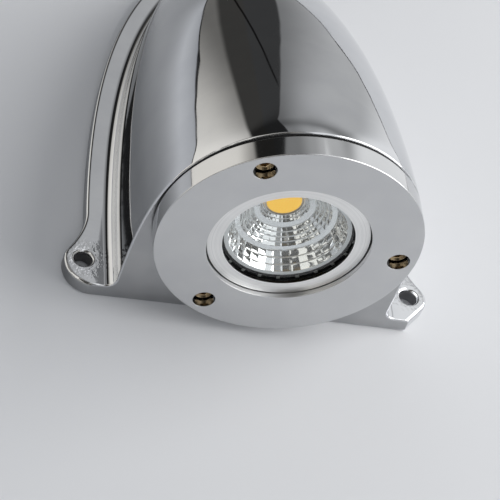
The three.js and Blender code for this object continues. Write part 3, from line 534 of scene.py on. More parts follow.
def optic_place(recipe: Recipe) -> tuple[Wire, Wire]:
    """Where the surface is along the light's axis, and how far from that axis, in metres."""
    across, along, up = recipe.axes(recipe.place())
    return along, distance(across, up - OPTIC_Z * MM)


@dataclass(frozen=True)
class Finish:
    """A finish with soft variation of its colour and gloss, and a fine grain."""

    name: str
    colour: Colour
    tint: Colour
    roughness: float = 0.5
    spread: float = 0.08
    metallic: float = 0.0
    patch_scale: float = 60.0
    patch_span: Span = (0.35, 0.65)
    grain_scale: float = 900.0
    grain_detail: float = 3.0
    grain_depth: float = 0.00002
    # Painted light: how strongly the finish glows in its own colour.
    painted_glow: float = 0.0

    @property
    def title(self) -> str:
        """The material's name, apart from the record's own materials."""
        return f"{self.name}_surface"

    def detail(self, recipe: Recipe) -> dict:
        """Works out what changes over the surface, as values for the shader's sockets.

        Args:
            recipe: the material's node tree.

        Returns:
            Values or links by the socket's name.
        """
        patches = recipe.noise(self.patch_scale)
        grain = recipe.noise(self.grain_scale, self.grain_detail)
        return {
            "Base Color": recipe.mix(patches.step(*self.patch_span), self.colour, self.tint),
            "Roughness": patches * self.spread + (self.roughness - self.spread / 2),
            "Normal": recipe.bump(grain, self.grain_depth),
        }

    def shader(self, recipe: Recipe) -> bpy.types.NodeSocket:
        """Works out the finish's shader.

        Args:
            recipe: the material's node tree.

        Returns:
            The shader's output.
        """
        inputs: dict = {"Metallic": self.metallic}
        # Painted light: the finish glows in its own colour.
        if self.painted_glow > 0:
            inputs.update({"Emission Color": (*self.colour, 1), "Emission Strength": self.painted_glow})
        inputs.update(self.detail(recipe))
        return recipe.node("ShaderNodeBsdfPrincipled", None, inputs).outputs[0]

    def material(self) -> bpy.types.Material:
        """Makes the material, once.

        Returns:
            The material.
        """
        known = bpy.data.materials.get(self.title)
        if known:
            return known
        material = bpy.data.materials.new(self.title)
        material.use_nodes = True
        recipe = Recipe(material.node_tree)
        recipe.surface(self.shader(recipe))
        return material


@dataclass(frozen=True)
class Ear:
    """A fixing hole's place in metres, and how strong the plating's ripples are round it."""

    x: float
    y: float
    ripples: float


@dataclass(frozen=True)
class Chrome(Finish):
    """Polished plating over a casting that is a little wavy, most of all round the ears. The walls of the
    fixing holes are painted dull dark grey: partly the duller plating of the hollows, partly painted shade.
    """

    ears: tuple[Ear, ...] = ()
    ear_reach: float = 0.0115
    ear_core: float = 0.5
    bore_radius: float = 0.00355
    bore_blur: float = MM / 20
    bore_top: float = 0.0051
    bore_top_blur: float = MM / 4
    # Dull plating of the hole walls, darkened further as painted shade.
    bore_shade_colour: Colour = (0.32, 0.32, 0.33)
    bore_roughness: float = 0.6
    smudge_scale: float = 70.0
    smudge_detail: float = 3.0
    smudge_span: Span = (0.3, 0.7)
    dull_span: Span = (0.4, 0.8)
    wave_scale: float = 38.0
    wave_depth: float = 0.00009
    wave_detail: float = 1.0
    ripple_scale: float = 700.0
    ripple_depth: float = 0.00013

    def detail(self, recipe: Recipe) -> dict:
        """Adds the casting's waves to the plating.

        Args:
            recipe: the material's node tree.

        Returns:
            Values or links by the socket's name.
        """
        smudges = recipe.noise(self.smudge_scale, self.smudge_detail)
        waves = recipe.noise(self.wave_scale, self.wave_detail)
        ripples = recipe.noise(self.ripple_scale, self.wave_detail)
        across, along, up = recipe.axes(recipe.place())
        near = waves * 0
        bore = waves * 0
        for ear in self.ears:
            away = distance(across - ear.x, along - ear.y)
            near = near.most((1 - away.step(self.ear_reach * self.ear_core, self.ear_reach)) * ear.ripples)
            # Mask of the hole walls, for their dull plating and painted shade.
            bore = bore.most(1 - away.step(self.bore_radius - self.bore_blur, self.bore_radius))
        bore = bore * (1 - up.step(self.bore_top - self.bore_top_blur, self.bore_top))
        height = waves * self.wave_depth + ripples * near * self.ripple_depth
        plating = recipe.mix(smudges.step(*self.smudge_span), self.colour, self.tint)
        dull = smudges.step(*self.dull_span) * self.spread + self.roughness
        return {
            "Base Color": recipe.mix(bore, plating, self.bore_shade_colour),
            "Roughness": dull.most(bore * self.bore_roughness),
            "Normal": recipe.bump(height),
        }


@dataclass(frozen=True)
class TurnedMetal(Finish):
    """Metal with the fine circular lines of a lathe round the light's axis. Inside its bore radius its wall
    is painted near black, as painted shade.
    """

    line_scale: float = 2600.0
    line_detail: float = 2.0
    line_depth: float = 0.000006
    line_share: float = 0.0
    line_span: Span = (0.3, 0.7)
    face_y: float = 0.0
    side_span: Span = (0.00008, 0.0003)
    side_roughness: float = 0.07
    bore_radius: float = 0.0
    bore_blur: float = MM / 50
    # Near black painted shade for the wall inside the bore radius.
    bore_shade_colour: Colour = (0.02, 0.02, 0.02)

    def detail(self, recipe: Recipe) -> dict:
        """Adds the lathe's lines, and a polished side behind the face.

        Args:
            recipe: the material's node tree.

        Returns:
            Values or links by the socket's name.
        """
        along, radius = optic_place(recipe)
        lines = recipe.value("ShaderNodeTexNoise", {"noise_dimensions": "1D"},
                             {"W": radius * self.line_scale, "Scale": 1.0, "Detail": self.line_detail})
        patches = recipe.noise(self.patch_scale)
        behind = along - self.face_y
        side = behind.step(*self.side_span)
        face_gloss = self.roughness + (lines - NOISE_MIDDLE) * self.spread
        share = patches.step(*self.line_span) * (1 - self.line_share)
        share = share + lines.step(*self.line_span) * self.line_share
        face = recipe.mix(share, self.colour, self.tint)
        # Mask of the painted shade on the wall inside the bore radius.
        bore = 1 - radius.step(self.bore_radius - self.bore_blur, self.bore_radius)
        return {
            "Base Color": recipe.mix(bore, face, self.bore_shade_colour),
            "Roughness": side.blend(face_gloss, self.side_roughness),
            "Normal": recipe.bump(lines * (1 - side), self.line_depth),
        }


@dataclass(frozen=True)
class ToothedMetal(Finish):
    """Black anodised metal with bare bright edges where it faces the glass."""

    bright: Colour = (0.85, 0.85, 0.84)
    tip_y: float = 0.0
    tip_span: Span = (0.00015, 0.0003)
    tip_radius: float = 0.0258
    tip_blur: float = MM / 10

    def detail(self, recipe: Recipe) -> dict:
        """Adds the bare edges at the tips.

        Args:
            recipe: the material's node tree.

        Returns:
            Values or links by the socket's name.
        """
        parts = Finish.detail(self, recipe)
        along, radius = optic_place(recipe)
        behind = along - self.tip_y
        bare = 1 - behind.step(*self.tip_span)
        bare = bare * (1 - radius.step(self.tip_radius - self.tip_blur, self.tip_radius))
        parts["Base Color"] = recipe.mix(bare, parts["Base Color"], self.bright)
        return parts


@dataclass(frozen=True)
class LightDots(Finish):
    """The yellow cast over the light's chips, with a faint pattern of dots."""

    dots_scale: float = 900.0
    dots_chance: float = 0.2
    dots_span: Span = (0.1, 0.7)

    def detail(self, recipe: Recipe) -> dict:
        """Adds the dots.

        Args:
            recipe: the material's node tree.

        Returns:
            Values or links by the socket's name.
        """
        cells = recipe.value("ShaderNodeTexVoronoi", None, {
            "Vector": recipe.place(), "Scale": self.dots_scale, "Randomness": self.dots_chance})
        return {
            "Base Color": recipe.mix(cells.step(*self.dots_span), self.colour, self.tint),
            "Roughness": cells * self.spread + self.roughness,
            "Normal": recipe.bump(cells, self.grain_depth),
        }


@dataclass(frozen=True)
class ClearGlass(Finish):
    """Clear glass whose coating leaves only a thin veil of reflection."""

    ior: float = 1.52
    coating: float = 0.8

    def shader(self, recipe: Recipe) -> bpy.types.NodeSocket:
        """Works out the glass as a mix of see-through and gloss.

        Args:
            recipe: the material's node tree.

        Returns:
            The shader's output.
        """
        veil = recipe.value("ShaderNodeFresnel", None, {"IOR": self.ior}) * self.coating
        inside = recipe.value("ShaderNodeNewGeometry", output="Backfacing")
        smears = recipe.noise(self.patch_scale, self.grain_detail)
        clear = recipe.node("ShaderNodeBsdfTransparent", None, {"Color": (*self.colour, 1)})
        gloss = recipe.node("ShaderNodeBsdfGlossy", None,
                            {"Color": (*self.tint, 1), "Roughness": smears * self.spread + self.roughness})
        return recipe.layered(veil * (1 - inside), clear.outputs[0], gloss.outputs[0])


EARS = tuple(Ear(x * MM, FRONT_PLANE + y * MM, ripples)
             for (x, y), ripples in zip(FIXING_HOLES, EAR_RIPPLES))
RING_FACE_Y = FRONT_PLANE + RING_FACE * MM
TOOTH_DEPTH = 5.6
TRIM_BORE = 24.13
# A face that lies behind the whole piece, so that the lathe's lines run over all of it.
BEHIND_ALL = RING_FACE_Y + 0.1

CHROME = Chrome("chrome", (0.68, 0.69, 0.705), (0.64, 0.65, 0.67), roughness=0.03, spread=0.03,
                metallic=1.0, ears=EARS)
SATIN_FRONT = Finish("satin_front", (0.47, 0.475, 0.48), (0.43, 0.435, 0.445), roughness=0.34, spread=0.06,
                     metallic=1.0, grain_scale=2200.0, grain_depth=0.000012)
SATIN_RING = TurnedMetal("satin_ring", (0.63, 0.635, 0.64), (0.60, 0.605, 0.615), roughness=0.33,
                         spread=0.1, metallic=1.0, face_y=RING_FACE_Y)
# The trim's inner wall is painted near black: painted shade.
BRUSHED_TRIM = TurnedMetal("brushed_trim", (0.94, 0.94, 0.93), (0.80, 0.80, 0.795), roughness=0.4,
                           spread=0.2, metallic=1.0, line_depth=0.00002, line_share=0.6, face_y=BEHIND_ALL,
                           side_roughness=0.4, bore_radius=TRIM_BORE * MM)
BRONZED = Finish("bronzed_screw", (0.42, 0.32, 0.19), (0.26, 0.20, 0.13), roughness=0.24, spread=0.12,
                 metallic=1.0)
RUBBER = Finish("black_rubber", (0.022, 0.022, 0.023), (0.032, 0.032, 0.033), roughness=0.7, spread=0.1)
MIRROR = Finish("mirror_reflector", (0.86, 0.865, 0.87), (0.82, 0.825, 0.83), roughness=0.05, spread=0.03,
                metallic=1.0, grain_scale=500.0, grain_depth=0.000002)
STEP = Finish("reflector_step", (0.88, 0.885, 0.89), (0.82, 0.825, 0.83))
# The phosphor's glow is painted light, standing in for the daylight that the real bowl gathers on it.
PHOSPHOR = LightDots("phosphor", (0.84, 0.50, 0.075), (0.78, 0.44, 0.055), roughness=0.45, spread=0.1,
                     grain_depth=0.00003, painted_glow=0.66)
WHITE_BOARD = Finish("white_board", (0.78, 0.78, 0.76), (0.74, 0.74, 0.72), roughness=0.45)
WHITE_PLASTIC = Finish("white_plastic", (0.77, 0.77, 0.75), (0.72, 0.72, 0.70), roughness=0.4)
ZINC = Finish("zinc_steel", (0.60, 0.61, 0.62), (0.50, 0.51, 0.53), roughness=0.32, spread=0.15,
              metallic=0.9, patch_scale=140.0)
ANODISED = ToothedMetal("black_anodised", (0.04, 0.04, 0.042), (0.05, 0.05, 0.052), spread=0.1,
                        metallic=0.7, tip_y=RING_FACE_Y + TOOTH_DEPTH * MM)
GREEN_BOARD = Finish("green_board", (0.02, 0.14, 0.05), (0.03, 0.18, 0.07), roughness=0.35)
COPPER = Finish("copper_winding", (0.62, 0.30, 0.10), (0.52, 0.22, 0.07), roughness=0.35, spread=0.1,
                metallic=0.6, grain_scale=3000.0)
BLUE_CAN = Finish("blue_can", (0.03, 0.04, 0.16), (0.04, 0.05, 0.20), roughness=0.3)
BRASS = Finish("brass", (0.72, 0.52, 0.20), (0.64, 0.45, 0.17), roughness=0.25, spread=0.1, metallic=1.0)
RED = Finish("red_insulation", (0.42, 0.02, 0.015), (0.36, 0.015, 0.012), roughness=0.4)
BLACK = Finish("black_insulation", (0.02, 0.02, 0.02), (0.03, 0.03, 0.03), roughness=0.4)
BROWN = Finish("brown_insulation", (0.16, 0.06, 0.02), (0.13, 0.05, 0.02), roughness=0.4)
BLUE = Finish("blue_insulation", (0.03, 0.12, 0.45), (0.03, 0.10, 0.38), roughness=0.4)
GREEN = Finish("green_insulation", (0.25, 0.48, 0.05), (0.20, 0.40, 0.04), roughness=0.4)
GLASS = ClearGlass("clear_glass", (0.97, 0.98, 0.98), (1.0, 1.0, 1.0), roughness=0.03, spread=0.05)

SLOT_FINISH: dict[str, Finish] = {
    "chrome": CHROME, "satin_steel": SATIN_RING, "black_rubber": RUBBER, "bronzed_steel": BRONZED,
    "brushed_aluminium": BRUSHED_TRIM, "clear_glass": GLASS, "mirror_plastic": MIRROR, "phosphor": PHOSPHOR,
    "white_board": WHITE_BOARD, "white_plastic": WHITE_PLASTIC, "zinc_steel": ZINC,
    "black_anodised": ANODISED, "green_board": GREEN_BOARD, "copper_winding": COPPER, "blue_can": BLUE_CAN,
    "brass": BRASS, "red_insulation": RED, "black_insulation": BLACK, "brown_insulation": BROWN,
    "blue_insulation": BLUE, "green_insulation": GREEN,
}
NODE_SLOT: dict[str, str] = {part["node"]: part["material_slot"] for part in frame["record"]["subparts"]}


def settle(piece: bpy.types.Object, node: str, *more: Finish) -> bpy.types.Object:
    """Dresses a new piece and lets it stand for its CAD node.

    Args:
        piece: the new piece.
        node: the CAD node that it stands for.
        more: finishes of further material slots.

    Returns:
        The piece.
    """
    slot = NODE_SLOT[node]
    piece.data.materials.append(SLOT_FINISH[slot].material())
    for finish in more:
        piece.data.materials.append(finish.material())
    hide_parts(node)
    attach(piece, "root")
    LOG.info("%s stands for %s", piece.name, node)
    return piece


def shade_evenly(piece: bpy.types.Object, weight: int = 50) -> None:
    """Shades broad faces flat and keeps the sharp edges.

    Args:
        piece: the piece.
        weight: how much broad faces count.
    """
    weighted = piece.modifiers.new("even_shading", "WEIGHTED_NORMAL")
    weighted.keep_sharp = True
    weighted.weight = weight


def build_turned(name: str, node: str, profile: Profile, steps: int, closed: bool) -> None:
    """Builds a piece that is turned round the light's axis.

    Args:
        name: the piece's name.
        node: the CAD node that it stands for.
        profile: its corners, with depths behind the ring's face.
        steps: faces round.
        closed: whether the profile closes on itself, clear of the axis.
    """
    shape = Shape()
    shape.turned(eased(profile, closed), Turn.OPTIC, OPTIC_CENTRE, steps, closed)
    settle(shape.finished(name), node)


@dataclass(frozen=True)
class BodyForm:
    """The bullet's outer form. The powers shape its plan, its ridge line and its section."""

    length: float = 178.0
    half_width: float = 53.4
    height: float = CASTING_TOP
    plan_power: float = 2.5
    plan_fullness: float = 0.55
    ridge_power: float = 1.18
    ridge_fullness: float = 0.49
    section_power: float = 3.6
    contour_step: float = 0.001
    level_length: float = 10.0
    level_drop: float = 0.4
    level_power: int = 3

    def half_width_at(self, y: float) -> float:
        """Half width of the body at a station."""
        share = min(max(y / self.length, 0.0), 1.0)
        return self.half_width * (1 - share ** self.plan_power) ** self.plan_fullness

    def height_at(self, y: float) -> float:
        """Height of the body's ridge at a station. It levels off towards the front.

        Args:
            y: the station.

        Returns:
            The height.
        """
        share = min(max(y / self.length, 0.0), 1.0)
        level = max(1 - y / self.level_length, 0.0) ** self.level_power * self.level_drop
        return self.height * (1 - share ** self.ridge_power) ** self.ridge_fullness - level

    def section_point(self, y: float, angle: float, inset: float = 0.0) -> Vector:
        """A point of the body's section, by its angle from the right foot to the left.

        Args:
            y: the station.
            angle: the angle in radians.
            inset: how far inside the outer form the point lies.

        Returns:
            The point.
        """
        rise = max(math.sin(angle), 0.0) ** (2 / self.section_power)
        width = self.half_width_at(y) - inset
        return Vector((width * math.cos(angle), y, (self.height_at(y) - inset) * rise))

    def foot_angle(self, y: float, z: float, inset: float = 0.0) -> float:
        """The angle at which the section reaches a height."""
        share = min(z / max(self.height_at(y) - inset, z), 1.0)
        return math.asin(share ** (self.section_power / 2))

    def end_at(self, z: float) -> float:
        """Station where the ridge comes down to a height."""
        return self.length * (1 - (z / self.height) ** (1 / self.ridge_fullness)) ** (1 / self.ridge_power)

    def place_at(self, y: float, z: float = 0.0) -> float:
        """The contour's place t at a station."""
        return math.sqrt(1 - y / self.end_at(z))

    def contour(self, t: float, z: float, offset: float = 0.0) -> Vector:
        """A point of the wall's contour at a height, set out by an offset.

        Args:
            t: -1 at the left front end, 0 at the tail, 1 at the right front end.
            z: the height.
            offset: how far outwards the point is set.

        Returns:
            The point.
        """
        end = self.end_at(z)

        def on_wall(u: float) -> Vector:
            """The contour itself.

            Args:
                u: the place along the contour, from -1 to 1.

            Returns:
                The point.
            """
            y = end * (1 - u * u)
            reach = self.half_width_at(y)
            if z > 0:
                reach *= math.cos(self.foot_angle(y, z))
            return Vector((math.copysign(reach, u), y, z))

        ahead = on_wall(min(t + self.contour_step, 1.0)) - on_wall(max(t - self.contour_step, -1.0))
        outward = Vector((-ahead.y, ahead.x, 0)).normalized()
        return on_wall(t) + outward * offset


@dataclass
class Casting:
    """The chromed casting: bullet, flange, ears, and the hollow for the driver.

    The names that end in steps are numbers of faces along or round a part of it.
    """

    form: BodyForm = BodyForm()
    flange: float = 6.3
    margin: float = 10.4
    top_round: float = 1.4
    base_round: float = 0.8
    front_round: float = 0.7
    fillet: float = 4.0
    ear_radius: float = 7.4
    ear_leave: float = math.pi / 5
    neck_y: float = 36.0
    tail_run_y: float = 168.0
    corner_x: float = EAR_X - 1.4
    round_start: float = 52.0
    round_lead: float = 1.5
    round_run: float = 1.78
    round_span: Span = (57.5, 61.0)
    round_slack: float = 0.5
    ground_x: float = 57.0
    ground_base: float = 0.5
    ground_top: float = 0.6
    hole_radius: float = 3.4
    sink_radius: float = 4.6
    sink_depth: float = 1.4
    sink_land: float = 0.4
    hole_bevel: float = 0.3
    hole_ease: float = 0.1
    wall: float = 3.6
    bulkhead: float = 6.0
    front_bore: float = 26.6
    pocket_inset: float = 2.0
    pocket_front: float = 3.5
    pocket_depth: float = 1.9
    screw_bore: float = 2.05
    screw_depth: float = 15.0
    cut_slack: float = 0.05
    front_slack: float = 0.1
    end_slack: float = 1.0
    crown_power: float = 1.5
    even_weight: int = 90
    across_steps: int = 120
    along_steps: int = 144
    fillet_steps: int = 12
    corner_steps: int = 44
    touch_steps: int = 8
    ear_steps: int = 30
    neck_steps: int = 24
    side_steps: int = 70
    run_steps: int = 5
    tail_steps: int = 16
    base_steps: int = 4
    top_steps: int = 8
    front_steps: int = 6
    sink_steps: int = 10
    hole_steps: int = 56
    rim_steps: int = 96
    chamber_across_steps: int = 48
    chamber_along_steps: int = 40
    bore_steps: int = 96
    screw_steps: int = 24

    def touch_angle(self, point: Vector, centre: Vector, side: int) -> float:
        """Angle on an ear's circle where the line from a point touches it."""
        away = point - centre
        return math.atan2(away.y, away.x) + side * math.acos(self.ear_radius / away.length)

    def on_ear(self, centre: Vector, angle: float) -> Vector:
        """A point of an ear's circle."""
        return centre + Vector((math.cos(angle), math.sin(angle), 0)) * self.ear_radius

    def front_run(self, rounded: bool) -> list[Vector]:
        """The outline from ahead of the front plane to where it leaves the ear.

        Args:
            rounded: whether the front corner is broadly rounded.

        Returns:
            The points, on the right.
        """
        ear = Vector((EAR_X, EAR_Y, 0))
        if rounded:
            first = 0.0
            start = Vector((self.round_start, -self.round_lead, 0))
            bend = Vector((EAR_X + self.ear_radius, -self.round_lead, 0))
            end = self.on_ear(ear, first)
            points = [bent(start, bend, end, share) for share in shares(self.corner_steps)[:-1]]
        else:
            corner = Vector((self.corner_x, 0, 0))
            first = self.touch_angle(corner, ear, 1)
            touched = self.on_ear(ear, first)
            start = corner.lerp(touched, -self.round_lead / touched.y)
            points = [start.lerp(touched, share) for share in shares(self.touch_steps)[:-1]]
        sweep = self.ear_leave - first
        return points + [self.on_ear(ear, first + sweep * share) for share in shares(self.ear_steps)[:-1]]

    def half_outline(self, rounded: bool) -> list[Vector]:
        """Half of the flange's outline on the right, from its front corner to the tail's tip.

        Args:
            rounded: whether the front corner is broadly rounded.

        Returns:
            The points.
        """
        ear = Vector((EAR_X, EAR_Y, 0))
        tail = Vector((0, TAIL_HOLE_Y, 0))
        points = self.front_run(rounded)
        first = self.form.contour(self.form.place_at(self.neck_y), 0, self.margin)
        leave = self.on_ear(ear, self.ear_leave)
        reach = (leave.x - first.x) / math.sin(self.ear_leave)
        bend = Vector((first.x, leave.y + reach * math.cos(self.ear_leave), 0))
        points += [bent(leave, bend, first, share) for share in shares(self.neck_steps)[:-1]]
        from_place = self.form.place_at(self.neck_y)
        way = self.form.place_at(self.tail_run_y) - from_place
        side = [self.form.contour(from_place + way * share, 0, self.margin)
                for share in shares(self.side_steps)]
        touch = self.touch_angle(side[-1], tail, 1)
        sweep = QUARTER_TURN - touch
        round_end = [self.on_ear(tail, touch + sweep * share) for share in shares(self.tail_steps)]
        run = [side[-1].lerp(round_end[0], share) for share in shares(self.run_steps)[1:-1]]
        return points + side + run + round_end

    def outline(self) -> list[Vector]:
        """The whole outline, from the right front corner round the tail to the left one."""
        left = [Vector((-point.x, point.y, 0)) for point in reversed(self.half_outline(True)[:-1])]
        return self.half_outline(False) + left

    def edge_profile(self) -> list[tuple[float, float]]:
        """The flange's edge from underneath to its top, as inset and height.

        Returns:
            The profile's points.
        """
        low = [(self.base_round * (1 - math.sin(angle)), self.base_round * (1 - math.cos(angle)))
               for angle in quarter(self.base_steps)]
        high = [(self.top_round * (1 - math.cos(angle)), self.flange - self.top_round * (1 - math.sin(angle)))
                for angle in quarter(self.top_steps)]
        return low + high

    def build(self) -> bpy.types.Object:
        """Builds the casting's surface piece by piece and closes it.

        Returns:
            The piece.
        """
        shape = Shape()
        self.add_edge(shape)
        self.add_body(shape)
        self.add_fixing_holes(shape)
        shape.weld()
        shape.flatten(Axis.Y, self.front_round, self.cut_slack)
        self.fill_flange_top(shape)
        self.add_hollow(shape)
        self.fill_underside(shape)
        satin = self.add_front(shape)
        self.fill_ends(shape)
        satin += [face for face in shape.mesh.faces if self.is_ground(face)]
        for face in satin:
            if face.is_valid:
                face.material_index = 1
        piece = shape.finished("casting")
        shade_evenly(piece, self.even_weight)
        return settle(piece, "housing", SATIN_FRONT)

    def is_ground(self, face: bmesh.types.BMFace) -> bool:
        """Whether a face lies on the left corner's wall, which is ground with the front.

        Args:
            face: the face.

        Returns:
            Whether it does.
        """
        centre = face.calc_center_median()
        on_wall = self.ground_base < centre.z < self.flange - self.ground_top
        return on_wall and centre.x < -self.ground_x and centre.y < EAR_Y

    def add_body(self, shape: Shape) -> None:
        """Adds the bullet above its fillet, and the fillet down to the flange.

        Args:
            shape: the casting's shape.
        """
        form = self.form
        top = self.flange + self.fillet
        front = form.place_at(self.front_round, top)
        end = form.end_at(top)

        def on_body(across: float, along: float) -> Vector:
            """A point of the bullet.

            Args:
                across: the share across.
                along: the share along.

            Returns:
                The point.
            """
            t = front * (1 - along)
            y = end * (1 - t * t)
            foot = form.foot_angle(y, top)
            rise = 1 - abs(2 * across - 1)
            angle = foot + (QUARTER_TURN - foot) * rise ** self.crown_power
            point = form.section_point(y, angle)
            return Vector((math.copysign(point.x, 1 - 2 * across), y, point.z))

        def on_fillet(across: float, along: float) -> Vector:
            """A point of the fillet.

            Args:
                across: the share across.
                along: the share along.

            Returns:
                The point.
            """
            angle = QUARTER_TURN * across
            z = self.flange + self.fillet * (1 - math.cos(angle))
            return form.contour(front * (1 - 2 * along), z, self.fillet * (1 - math.sin(angle)))

        shape.sheet(self.across_steps, self.along_steps, on_body)
        shape.sheet(self.fillet_steps, self.along_steps * 2, on_fillet)

    def add_edge(self, shape: Shape) -> None:
        """Adds the flange's rounded edge along its outline.

        Args:
            shape: the casting's shape.
        """
        line = self.outline()
        profile = self.edge_profile()
        rows = len(profile) - 1

        def on_edge(point: Vector, number: int, across: float) -> Vector:
            """A point of the edge.

            Args:
                point: the line's point.
                number: the point's number.
                across: the share across.

            Returns:
                The point.
            """
            before = line[max(number - 1, 0)]
            after = line[min(number + 1, len(line) - 1)]
            ahead = (after - before).normalized()
            inset, z = profile[round(across * rows)]
            return Vector((point.x - ahead.y * inset, point.y + ahead.x * inset, z))

        shape.ribbon(line, rows, on_edge)
        shape.cut_front(self.front_round)

    def add_fixing_holes(self, shape: Shape) -> None:
        """Adds the walls of the three countersunk holes.

        Args:
            shape: the casting's shape.
        """
        width = self.sink_radius - self.hole_radius
        floor = self.flange - self.sink_depth
        profile = [(self.sink_radius - width * math.sin(angle), floor + self.sink_depth * math.cos(angle))
                   for angle in quarter(self.sink_steps)]
        profile += eased([
            Corner(self.hole_radius, floor - self.sink_land),
            Corner(self.hole_radius, self.hole_bevel, self.hole_ease),
            Corner(self.hole_radius + self.hole_bevel, 0)], closed=False)
        for x, y in FIXING_HOLES:
            shape.turned(profile, Turn.UPRIGHT, Vector((x, y, 0)), self.hole_steps)

    def fill_flange_top(self, shape: Shape) -> None:
        """Fills the flat top of the flange round the fillet and the holes.

        Args:
            shape: the casting's shape.
        """
        foot = self.form.contour(self.form.place_at(self.front_round), self.flange, self.fillet)
        on_top = on_level(Axis.Z, self.flange, NEAR_PLANE)
        edges = shape.open_edges(lambda spot: on_top(spot) and spot.y > self.front_round - self.front_slack)
        front = []
        for side in (-1, 1):
            inner_end = Vector((side * foot.x, self.front_round, self.flange))
            outer_end = shape.outermost(side, self.front_round, self.flange)
            front.append(shape.joined(inner_end, outer_end))
        flat = [edge for edge in edges if edge not in front]
        shape.fill(flat + front)

    def add_hollow(self, shape: Shape) -> None:
        """Adds the walls of the back plate's pocket and of the driver's chamber.

        Args:
            shape: the casting's shape.
        """
        form = self.form
        place = form.place_at(self.pocket_front)
        rim = [form.contour(place * (2 * share - 1), 0, -self.pocket_inset)
               for share in shares(self.rim_steps)]
        rim.append(rim[0].copy())

        def on_pocket(point: Vector, number: int, across: float) -> Vector:
            """A point of the pocket's wall."""
            return Vector((point.x, point.y, self.pocket_depth * across))

        shape.ribbon(rim, 1, on_pocket)
        start = self.bulkhead
        end = self.tail_run_y

        def on_chamber(across: float, along: float) -> Vector:
            """A point of the chamber's wall.

            Args:
                across: the share across.
                along: the share along.

            Returns:
                The point.
            """
            y = start + (end - start) * math.sin(QUARTER_TURN * along)
            foot = form.foot_angle(y, self.pocket_depth, self.wall)
            angle = foot + (HALF_TURN - 2 * foot) * across
            return form.section_point(y, angle, self.wall)

        shape.sheet(self.chamber_across_steps, self.chamber_along_steps, on_chamber)
        shape.weld()
        for y in (start, end):
            foot = form.foot_angle(y, self.pocket_depth, self.wall)
            right = form.section_point(y, foot, self.wall)
            shape.joined(right, Vector((-right.x, right.y, right.z)))

    def fill_underside(self, shape: Shape) -> None:
        """Fills the foot of the casting and the ledge that the back plate lies on.

        Args:
            shape: the casting's shape.
        """
        shape.joined(*(shape.outermost(side, self.front_round, 0) for side in (-1, 1)))
        shape.fill_level(Axis.Z, 0)
        on_ledge = on_level(Axis.Z, self.pocket_depth, NEAR_PLANE)
        shape.fill(shape.open_edges(lambda spot: on_ledge(spot) and abs(spot.x) < self.form.half_width))

    def front_loop(self, shape: Shape) -> list[Vector]:
        """The closed line of open edges just behind the front plane, in order.

        Args:
            shape: the casting's shape.

        Returns:
            The places of its points.
        """
        edges = shape.open_edges(on_level(Axis.Y, self.front_round))
        links: dict[bmesh.types.BMVert, list[bmesh.types.BMVert]] = {}
        for edge in edges:
            for vert in edge.verts:
                links.setdefault(vert, []).append(edge.other_vert(vert))
        first = edges[0].verts[0]
        loop = [first]
        before = None
        here = first
        while True:
            after = next((vert for vert in links[here] if vert is not before), None)
            if after is None or after is first or len(loop) > len(edges):
                break
            before = here
            here = after
            loop.append(after)
        LOG.info("front loop: %d of %d edges", len(loop), len(edges))
        return [vert.co.copy() for vert in loop]

    def add_front(self, shape: Shape) -> list[bmesh.types.BMFace]:
        """Adds the rounded front edge and the flat front plane.

        Args:
            shape: the casting's shape.

        Returns:
            The faces of the front plane.
        """
        loop = self.front_loop(shape)
        count = len(loop)
        area = sum(loop[i].x * loop[(i + 1) % count].z - loop[(i + 1) % count].x * loop[i].z
                   for i in range(count))
        side = 1 if area > 0 else -1
        line = loop + [loop[0].copy()]

        def on_round(point: Vector, number: int, across: float) -> Vector:
            """A point of the rounded front edge.

            Args:
                point: the line's point.
                number: the point's number.
                across: the share across.

            Returns:
                The point.
            """
            here = number % count
            ahead = loop[(here + 1) % count] - loop[here - 1]
            outward = Vector((ahead.z, 0, -ahead.x)).normalized() * side
            angle = QUARTER_TURN * across
            inset = outward * (self.front_round * (1 - math.cos(angle)))
            ahead_share = math.sin(angle)
            low = point.z < self.flange + self.round_slack
            rounded = smooth_step(-point.x, *self.round_span) if low else 0.0
            across_inset = inset.x * (1 - rounded) - self.round_run * ahead_share * rounded
            y = self.front_round * (1 - ahead_share)
            return Vector((point.x - across_inset, y, point.z - inset.z))

        shape.ribbon(line, self.front_steps, on_round)
        bore = [(self.front_bore, 0), (self.front_bore, self.bulkhead)]
        shape.turned(bore, Turn.OPTIC, Vector((0, 0, OPTIC_Z)), self.bore_steps)
        hole = [(self.screw_bore, 0), (self.screw_bore, self.screw_depth), (0, self.screw_depth)]
        for x, z in screw_places():
            shape.turned(hole, Turn.OPTIC, Vector((x, 0, z)), self.screw_steps)
        shape.weld()
        return shape.fill_level(Axis.Y, 0)

    def fill_ends(self, shape: Shape) -> None:
        """Fills the back of the bulkhead and the chamber's tail wall.

        Args:
            shape: the casting's shape.
        """
        reach = self.form.half_width - self.end_slack
        for y in (self.bulkhead, self.tail_run_y):
            level = on_level(Axis.Y, y)
            shape.fill(shape.open_edges(
                lambda spot, level=level: level(spot) and abs(spot.x) < reach and spot.z > self.end_slack))


